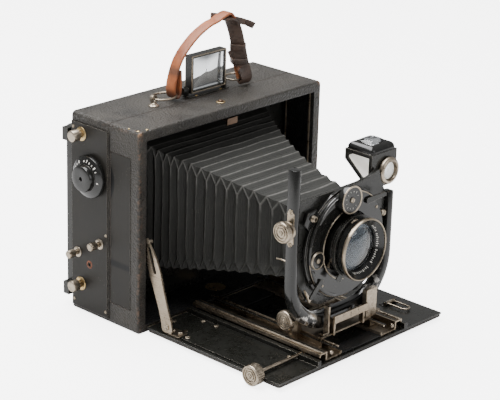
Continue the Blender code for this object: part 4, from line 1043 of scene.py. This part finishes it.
def makeDials():
    low, high = nodeBox("speed_dial")
    centre = centreAcross("speed_dial", "y")
    radius = (high[0] - low[0]) / 2
    top = low[1]
    wall = [(1.2, high[1]), (radius - 0.3, high[1]), (radius, high[1] - 0.4), (radius, top + 1.0),
            (radius - 0.25, top + 0.5),
            (radius - 0.5, top + 0.3), (8.8, top + 0.4), (1.2, top + 0.4)]
    makePiece("speed_dial_turned", [turnedPart("y", centre, wall, 80, (2, 3), 0.25, ring=True)],
              "enamelGloss", "speed_dial", 30, replaced=("speed_dial",))
    ringProfile = [(radius - 0.2, top + 0.7), (radius - 0.25, top + 0.1), (radius - 0.8, top),
                   (radius - 1.4, top + 0.2),
                   (radius - 1.5, top + 0.6)]
    trim = [turnedPart("y", centre, ringProfile, 64, ring=True)]
    trim += screwPart("y", centre, top + 0.4, -1, 1.9, 1.0, 1.1)
    makePiece("speed_dial_trim", trim, "nickel", "speed_dial", 40)
    ticks = []
    strokes = {"count": 11, "start": 20, "pitch": 29, "foot": 5.6, "half": 0.16}
    for index in range(strokes["count"]):
        angle = math.radians(strokes["start"] + index * strokes["pitch"])
        u, v = math.cos(angle), math.sin(angle)
        tall = 1.4 if index % 2 else 0.9
        foot, half = strokes["foot"], strokes["half"]
        outline = [(centre[0] + u * reach - v * side, centre[1] + v * reach + u * side)
                   for reach, side in ((foot, -half), (foot + tall, -half), (foot + tall, half),
                                       (foot, half))]
        ticks.append(prismPart("y", outline, top + 0.28, top + 0.45))
    makePiece("speed_dial_strokes", ticks, "marks", "speed_dial", 30)
    low, high = nodeBox("mode_dial")
    centre = centreAcross("mode_dial", "y")
    top = low[1]
    body = [(5.6, high[1]), (5.6, top + 0.5), (0.4, top + 0.5)]
    makePiece("mode_dial_face", [turnedPart("y", centre, body, 56)], "enamelGloss", "mode_dial", 30,
              replaced=("mode_dial",))
    ringProfile = [(6.4, high[1] - 0.1), (6.4, top + 0.5), (6.0, top), (5.5, top + 0.1), (5.4, high[1] - 0.1)]
    trim = [turnedPart("y", centre, ringProfile, 64, ring=True)]
    trim += screwPart("y", centre, top + 0.5, -1, 1.7, 0.8, 0.4)
    makePiece("mode_dial_trim", trim, "nickel", "mode_dial", 40)


makeFrame()
makeShutterTrim()
makeLens()
makeDials()
print("standard and lens done")

# Small fittings on the standard, the bed and the body.


def makeRails():
    low, high = nodeBox("carriage")
    shape = {"beads": (24.4, 41.2), "beadHeight": 13.0, "beadRadius": 0.75, "grooves": (27.0, 38.6),
             "grooveHalf": 0.7, "grooveLow": 12.6, "grooveHigh": 12.95, "endScrew": (32.4, 11.0)}
    bright = []
    dark = []
    for sign in (-1.0, 1.0):
        for x in shape["beads"]:
            ends = [(sign * x, y, shape["beadHeight"]) for y in (low[1] + 0.4, high[1] - 0.4)]
            bright.append(tubePart(ends, shape["beadRadius"], 10))
        for x in shape["grooves"]:
            dark.append(boxPart((sign * x - shape["grooveHalf"], low[1] + 1.0, shape["grooveLow"]),
                                (sign * x + shape["grooveHalf"], high[1] - 1.0, shape["grooveHigh"])))
        end = [(1.0, low[1] + 0.6), (1.5, low[1] + 0.2), (1.5, low[1] - 0.9), (1.1, low[1] - 1.3)]
        bright.append(turnedPart("y", (sign * shape["endScrew"][0], shape["endScrew"][1]), end, 24))
    makePiece("rail_beads", bright, "nickel", "carriage", 50)
    makePiece("rail_grooves", dark, "enamel", "carriage", 40)


def makeStandardFittings():
    front = nodeBox("standard_base")[0][1]
    ticks = [boxPart((-0.18, front - 0.12, 24.6), (0.18, front + 0.05, 28.2))]
    for x in (-8.0, 8.0):
        ticks.append(boxPart((x - 0.14, front - 0.1, 26.6), (x + 0.14, front + 0.05, 28.2)))
    makePiece("index_ticks", ticks, "enamel", "standard", 30)
    heads = []
    for x, y in ((-22.5, -121.0), (22.5, -121.0), (31.2, -142.0), (-31.2, -142.0)):
        heads += screwPart("z", (x, y), 15.15 if abs(x) < 26 else 8.75, 1, 1.6, 0.8, x)
    makePiece("base_screws", heads, "nickel", "standard", 40)
    hook = [(-51.6, -134.2, 75.0), (-51.8, -131.6, 75.4), (-53.0, -129.6, 76.0), (-55.2, -128.6, 76.8)]
    small = [tubePart(hook, 0.5)]
    for z in (88.6, 111.8):
        small += screwPart("x", (-138.4, z), -52.4, -1, 1.5, 1.0, z)
    plate = [(-141.0, 89.6), (-137.0, 86.6), (-135.0, 89.6), (-135.0, 110.8), (-137.0, 113.8),
             (-141.0, 110.8)]
    small.append(prismPart("x", plate, -52.9, -52.45))
    makePiece("arm_fittings", small, "nickelDrawn", "cross_frame", 40)


def makeFinder():
    low, high = nodeBox("finder_top_lens")
    bodyLow, bodyHigh = nodeBox("finder_body")
    loops = []
    for inset, z in ((0.0, low[2] + 0.1), (0.0, low[2] + 1.4), (0.4, low[2] + 2.5), (1.2, low[2] + 3.5),
                     (2.3, low[2] + 4.3),
                     (3.6, low[2] + 4.9), (4.4, low[2] + 5.1), (4.4, low[2] + 1.2), (1.6, low[2] + 0.1)):
        outline = []
        for centreX, centreY, start in ((high[0] - 3.4, high[1] - 3.4, 0.0),
                                        (low[0] + 3.4, high[1] - 3.4, 0.5),
                                        (low[0] + 3.4, low[1] + 3.4, 1.0),
                                        (high[0] - 3.4, low[1] + 3.4, 1.5)):
            for step in range(7):
                angle = math.pi * (start + 0.5 * step / 6)
                arc = max(0.6, 3.4 - inset)
                shiftX = math.copysign(max(0.0, inset - 2.8), centreX - (low[0] + high[0]) / 2)
                shiftY = math.copysign(max(0.0, inset - 2.8), centreY - (low[1] + high[1]) / 2)
                outline.append((centreX - shiftX + arc * math.cos(angle),
                                centreY - shiftY + arc * math.sin(angle), z))
        loops.append(outline)
    makePiece("finder_hood", [skin(loops, ring=True)], "enamelGloss", "finder", 50)
    dome = []
    centreX, centreY = (low[0] + high[0]) / 2, (low[1] + high[1]) / 2
    reachX, reachY = (high[0] - low[0]) / 2 - 3.9, (high[1] - low[1]) / 2 - 3.9
    for scale, z in ((1.0, low[2] + 1.6), (1.0, low[2] + 4.2), (0.92, low[2] + 5.2), (0.76, low[2] + 6.3),
                     (0.55, low[2] + 7.2), (0.3, low[2] + 7.7), (0.06, high[2])):
        loop = []
        for step in range(40):
            angle = math.tau * step / 40
            power = 0.45 + 0.55 * (1.0 - scale)
            loop.append((centreX + math.copysign(abs(math.cos(angle)) ** power,
                                                 math.cos(angle)) * reachX * scale,
                         centreY + math.copysign(abs(math.sin(angle)) ** power,
                                                 math.sin(angle)) * reachY * scale, z))
        dome.append(loop)
    makePiece("finder_dome", [skin(dome)], "glass", "finder", 60, replaced=("finder_top_lens",))
    # the mirror, and the screen further down, take the pale glowing material: a painted reflection with a
    # painted glow
    mirror = [(bodyLow[1] + 6.4, 109.7), (bodyLow[1] + 5.6, 109.9), (bodyHigh[1] - 2.6, 124.6),
              (bodyHigh[1] - 2.0, 124.0)]
    makePiece("finder_mirror", [prismPart("x", mirror, bodyLow[0] + 1.4, 55.4)], "mirror", "finder", 30)
    low, high = nodeBox("finder_objective")
    centre = centreAcross("finder_objective", "y")
    ringProfile = [(7.0, high[1]), (7.0, -134.2), (10.0, -134.2), (10.0, -135.4), (9.7, -136.4),
                   (9.0, -137.1), (8.2, -137.5),
                   (7.4, low[1]), (6.9, -137.2), (6.6, -136.0), (6.4, high[1])]
    makePiece("finder_bezel", [turnedPart("y", centre, ringProfile, 64, ring=True)], "nickel", "finder", 40,
              replaced=("finder_objective",))
    glass = [(6.3, -133.4), (6.3, -135.0), (4.8, -135.8), (2.6, -136.4), (0.2, -136.6)]
    makePiece("finder_front_glass", [turnedPart("y", centre, glass, 40)], "glass", "finder", 60)
    screen = [(0.3, -132.9), (6.2, -132.9), (6.2, -133.2), (0.3, -133.2)]
    makePiece("finder_screen", [turnedPart("y", centre, screen, 40)], "mirror", "finder", 40)
    heads = screwPart("y", (37.5, 117.0), bodyLow[1] - 0.05, -1, 1.9, 1.1, 0.3)
    makePiece("finder_pivot_screw", heads, "nickel", "finder", 40)


def makeSight():
    low, high = nodeBox("sight_frame")
    lensLow, lensHigh = nodeBox("sight_lens")
    left, right = lensLow[0] - 2.1, lensHigh[0] + 2.1
    bottom, top = lensLow[2] - 2.1, lensHigh[2] + 2.1
    edge = []
    for y in (low[1] + 0.1, high[1] - 0.1):
        path = [(left + 0.5, y, bottom + 0.5), (right - 0.5, y, bottom + 0.5), (right - 0.5, y, top - 0.5),
                (left + 0.5, y, top - 0.5)]
        for start, end in zip(path, path[1:] + path[:1]):
            edge.append(tubePart([start, end], 0.55, 8))
    makePiece("sight_edges", edge, "nickel", "sight", 40)
    loops = []
    width, tall = (lensHigh[0] - lensLow[0]) / 2, (lensHigh[2] - lensLow[2]) / 2
    centreX, centreZ = (lensLow[0] + lensHigh[0]) / 2, (lensLow[2] + lensHigh[2]) / 2
    square = ((-1, -1), (0, -1), (1, -1), (1, 0), (1, 1), (0, 1), (-1, 1), (-1, 0))
    front, back = lensLow[1], lensHigh[1]
    for scale, y in ((1.0, front - 1.2), (0.8, front - 0.3), (0.55, front + 0.35), (0.3, front + 0.7),
                     (0.05, front + 0.8), (0.05, back - 0.4), (1.0, back)):
        loops.append([(centreX + x * width * scale, y, centreZ + z * tall * scale) for x, z in square])
    makePiece("sight_glass", [skin(loops, ring=True)], "glass", "sight", 60, replaced=("sight_lens",))
    heads = []
    for x, y in ((-5.0, 7.4), (20.0, 7.4), (-5.0, -0.6), (20.0, -0.6)):
        heads += screwPart("z", (x, y), 150.75, 1, 0.9, 0.5, x)
    makePiece("sight_base_screws", heads, "brass", "root", 40)


def makeBedFittings():
    plateTop = 5.5
    shape = {"coverScrews": ((-52.0, -141.0), (-80.5, -141.0), (-80.5, -71.0), (-52.0, -71.0)),
             "plateScrews": ((-48.3, -57.0), (-48.4, -70.0), (-68.4, -60.0), (48.3, -60.0), (48.3, -150.0),
                             (-20.0, -42.0), (20.0, -42.0), (62.0, -42.0), (-62.0, -42.0)),
             "slot": (5.0, -156.3), "slotReach": 7.4, "slotEnd": 1.9, "slotHalf": 3.1, "strutInner": 83.6,
             "footX": 79.4, "knuckle": (-55.0, 15.4), "pivot": (-54.6, 10.6)}
    heads = []
    for x, y in shape["coverScrews"]:
        heads += screwPart("z", (x, y), plateTop + 1.15, 1, 1.9, 0.7, x + y)
    for x, y in shape["plateScrews"]:
        heads += screwPart("z", (x + math.copysign(3.0, x), y), plateTop - 0.05, 1, 1.7, 0.7, x)
    makePiece("bed_screws", heads, "nickel", "root", 40)
    slotX, slotY = shape["slot"]
    slotRim = []
    for step in range(36):
        turn = math.tau * step / 36
        reach = shape["slotReach"] * math.copysign(abs(math.cos(turn)) ** 0.7, math.cos(turn))
        slotRim.append((slotX + reach + shape["slotEnd"] * math.cos(turn),
                        slotY + shape["slotHalf"] * math.sin(turn), plateTop + 0.15))
    makePiece("bed_slot_rim", [tubePart(slotRim, 0.6, 8, ring=True)], "nickel", "root", 50)
    feet = []
    for sign in (-1.0, 1.0):
        low, high = nodeBox("strut_left" if sign < 0 else "strut_right")
        outerX = low[0] if sign < 0 else high[0]
        innerX = sign * shape["strutInner"]
        feet += screwPart("x", shape["pivot"], outerX, sign, 2.1, 0.9, 0.4)
        feet += screwPart("x", shape["pivot"], innerX, -sign, 2.1, 0.9, 0.4)
        knuckle = [(3.2, innerX - sign * 0.05), (3.2, innerX - sign * 1.2), (2.6, innerX - sign * 1.7),
                   (0.5, innerX - sign * 1.8)]
        feet.append(turnedPart("x", shape["knuckle"], knuckle, 28))
        feet += screwPart("z", (sign * shape["footX"], -62.6), 6.75, 1, 1.9, 0.8, sign)
        feet += screwPart("z", (sign * shape["footX"], -56.0), 6.75, 1, 1.2, 0.6, sign)
        feet.append(tubePart([(sign * 82.6, -36.4, 69.6), (sign * 86.0, -36.4, 69.6)], 1.4, 14))
    makePiece("strut_fittings", feet, "nickel", "root", 40)
    cheeks = []
    for x in (66.4, 75.6):
        cheek = [(-129.6, 5.45), (-126.2, 5.45), (-126.2, 7.6), (-127.0, 8.7), (-128.9, 8.7), (-129.6, 7.6)]
        cheeks.append(prismPart("x", cheek, x - 1.1 if x < 71 else x + 0.1, x - 0.1 if x < 71 else x + 1.1))
    cheeks.append(boxPart((64.0, -127.4, 5.45), (78.0, -123.4, 6.1)))
    for x in (66.6, 75.4):
        cheeks += screwPart("z", (x, -125.4), 6.1, 1, 1.1, 0.6, x)
    makePiece("loop_bearing", cheeks, "enamelGloss", "root", 35, bevel=0.15)


def makeBodyFittings():
    frontY = nodeBox("front_body")[0][1]
    shape = {"inner": 84.5, "outer": 85.5, "low": 7.0, "high": 141.8,
             "nails": ((-90.4, -30.2, 1.25), (-83.4, -31.6, 1.1), (-91.2, -22.0, 0.9))}
    strips = []
    for sign in (-1.0, 1.0):
        edge = sorted((sign * shape["outer"], sign * shape["inner"]))
        for near, far in ((frontY + 3.0, frontY + 4.4), (-7.6, -6.4)):
            strips.append(boxPart((edge[0], near, shape["low"]), (edge[1], far, shape["high"])))
    makePiece("opening_strips", strips, "nickelDrawn", "root", 30, bevel=0.12)
    low, high = nodeBox("bed_latch")
    ring = [(2.5, bodyTop - 0.05), (3.4, bodyTop - 0.05), (3.4, bodyTop + 0.3), (2.7, bodyTop + 0.6),
            (2.5, bodyTop + 0.4)]
    latch = [turnedPart("z", ((low[0] + high[0]) / 2 + 0.3, -21.0), ring, 30, ring=True)]
    for x, y, radius in shape["nails"]:
        nail = [(radius, bodyTop - 0.2), (radius, bodyTop + 0.05), (radius * 0.75, bodyTop + 0.3),
                (radius * 0.2, bodyTop + 0.45)]
        latch.append(turnedPart("z", (x, y), nail, 18))
    makePiece("latch_bush", latch, "brass", "root", 40, bevel=0.1)


def makeBackFittings():
    low, high = nodeBox("back_frame")
    rear = high[1]
    heads = []
    for x in (low[0] + 9.0, 0.0, 82.0):
        for z in (low[2] + 6.0, high[2] - 6.0):
            heads += screwPart("y", (x, z), rear - 0.05, 1, 1.8, 0.8, x + z)
    for x in (-80.0, 80.0):
        heads += screwPart("y", (x, 75.0), rear - 0.05, 1, 1.8, 0.8, x)
    makePiece("back_screws", heads, "nickel", "root", 40)
    guides = []
    for x in (-71.5, 66.5):
        guides.append(boxPart((x, rear - 0.1, 26.0), (x + 5.0, rear + 0.9, 122.0)))
    makePiece("plate_guides", guides, "enamelGloss", "root", 35, bevel=0.2)
    grid = []
    ruled = {"front": 40.28, "rear": 40.34, "left": -60.0, "right": 60.0, "low": 34.5, "high": 123.5,
             "half": 0.12}
    for step in range(1, 6):
        x = ruled["left"] + 20.0 * step
        grid.append(boxPart((x - ruled["half"], ruled["front"], ruled["low"]),
                            (x + ruled["half"], ruled["rear"], ruled["high"])))
    for step in range(1, 5):
        z = 34.0 + 18.0 * step
        grid.append(boxPart((ruled["left"], ruled["front"], z - ruled["half"]),
                            (ruled["right"], ruled["rear"], z + ruled["half"])))
    makePiece("focusing_grid", grid, "enamel", "root", 30)


makeRails()
makeStandardFittings()
makeFinder()
makeSight()
makeBedFittings()
makeBodyFittings()
makeBackFittings()
print("fittings done")

# Floor, light and camera.

stage = {"floor": (0.86, 0.855, 0.85), "floorSize": 6.0, "world": 0.40, "keyPower": 54.0, "fillPower": 1.2,
         "rimPower": 7.0, "floorLift": 4.5}
cameraView = {"azimuth": -47.083, "elevation": 20.426, "roll": 1.623, "lens": 136.59, "sensor": 36.0,
              "place": (-0.93276, -0.91886, 0.55772)}


def makeStage():
    floorMaterial = bpy.data.materials.new("paleFloor")
    floorMaterial.use_nodes = True
    tree = floorMaterial.node_tree
    shader = tree.nodes["Principled BSDF"]
    shader.inputs["Base Color"].default_value = (*stage["floor"], 1.0)
    shader.inputs["Roughness"].default_value = 0.9
    shader.inputs["Specular IOR Level"].default_value = 0.1
    shader.inputs["Emission Color"].default_value = (1.0, 1.0, 1.0, 1.0)
    seen = addNode(tree, "LightPath").outputs["Is Camera Ray"]
    tree.links.new(mathNode(tree, "MULTIPLY", seen, stage["floorLift"]), shader.inputs["Emission Strength"])
    half = stage["floorSize"] / 2
    mesh = bpy.data.meshes.new("floor")
    mesh.from_pydata([(-half, -half, 0), (half, -half, 0), (half, half, 0), (-half, half, 0)], [],
                     [(0, 1, 2, 3)])
    mesh.materials.append(floorMaterial)
    floor = bpy.data.objects.new("floor", mesh)
    bpy.context.scene.collection.objects.link(floor)
    world = bpy.data.worlds.new("softRoom")
    world.use_nodes = True
    world.node_tree.nodes["Background"].inputs["Color"].default_value = (1.0, 1.0, 1.0, 1.0)
    world.node_tree.nodes["Background"].inputs["Strength"].default_value = stage["world"]
    bpy.context.scene.world = world


def areaLight(name, place, target, size, power, colour=(1.0, 1.0, 1.0)):
    light = bpy.data.lights.new(name, "AREA")
    light.shape = "RECTANGLE"
    light.size, light.size_y = size
    light.energy = power
    light.color = colour
    lamp = bpy.data.objects.new(name, light)
    lamp.location = place
    lamp.rotation_euler = (Vector(target) - Vector(place)).to_track_quat("-Z", "Y").to_euler()
    bpy.context.scene.collection.objects.link(lamp)


def makeCamera():
    azimuth, elevation, roll = (math.radians(cameraView[key]) for key in ("azimuth", "elevation", "roll"))
    level = math.cos(elevation)
    back = Vector((math.sin(azimuth) * level, -math.cos(azimuth) * level, math.sin(elevation)))
    right = Vector((math.cos(azimuth), math.sin(azimuth), 0.0))
    up = back.cross(right)
    rolledRight = right * math.cos(roll) + up * math.sin(roll)
    rolledUp = up * math.cos(roll) - right * math.sin(roll)
    camera = bpy.data.cameras.new("view")
    camera.sensor_width = cameraView["sensor"]
    camera.lens = cameraView["lens"]
    holder = bpy.data.objects.new("view", camera)
    turned = Matrix((rolledRight, rolledUp, back)).transposed().to_4x4()
    holder.matrix_world = Matrix.Translation(cameraView["place"]) @ turned
    bpy.context.scene.collection.objects.link(holder)
    bpy.context.scene.camera = holder


makeStage()
areaLight("overhead", (-0.15, 0.25, 1.3), (0.0, -0.05, 0.05), (1.5, 1.1), stage["keyPower"])
areaLight("left", (-1.5, -0.2, 0.7), (0.0, 0.0, 0.05), (1.0, 0.8), stage["fillPower"])
areaLight("front", (0.4, -1.6, 0.8), (0.0, 0.0, 0.05), (0.9, 0.9), stage["rimPower"])
makeCamera()
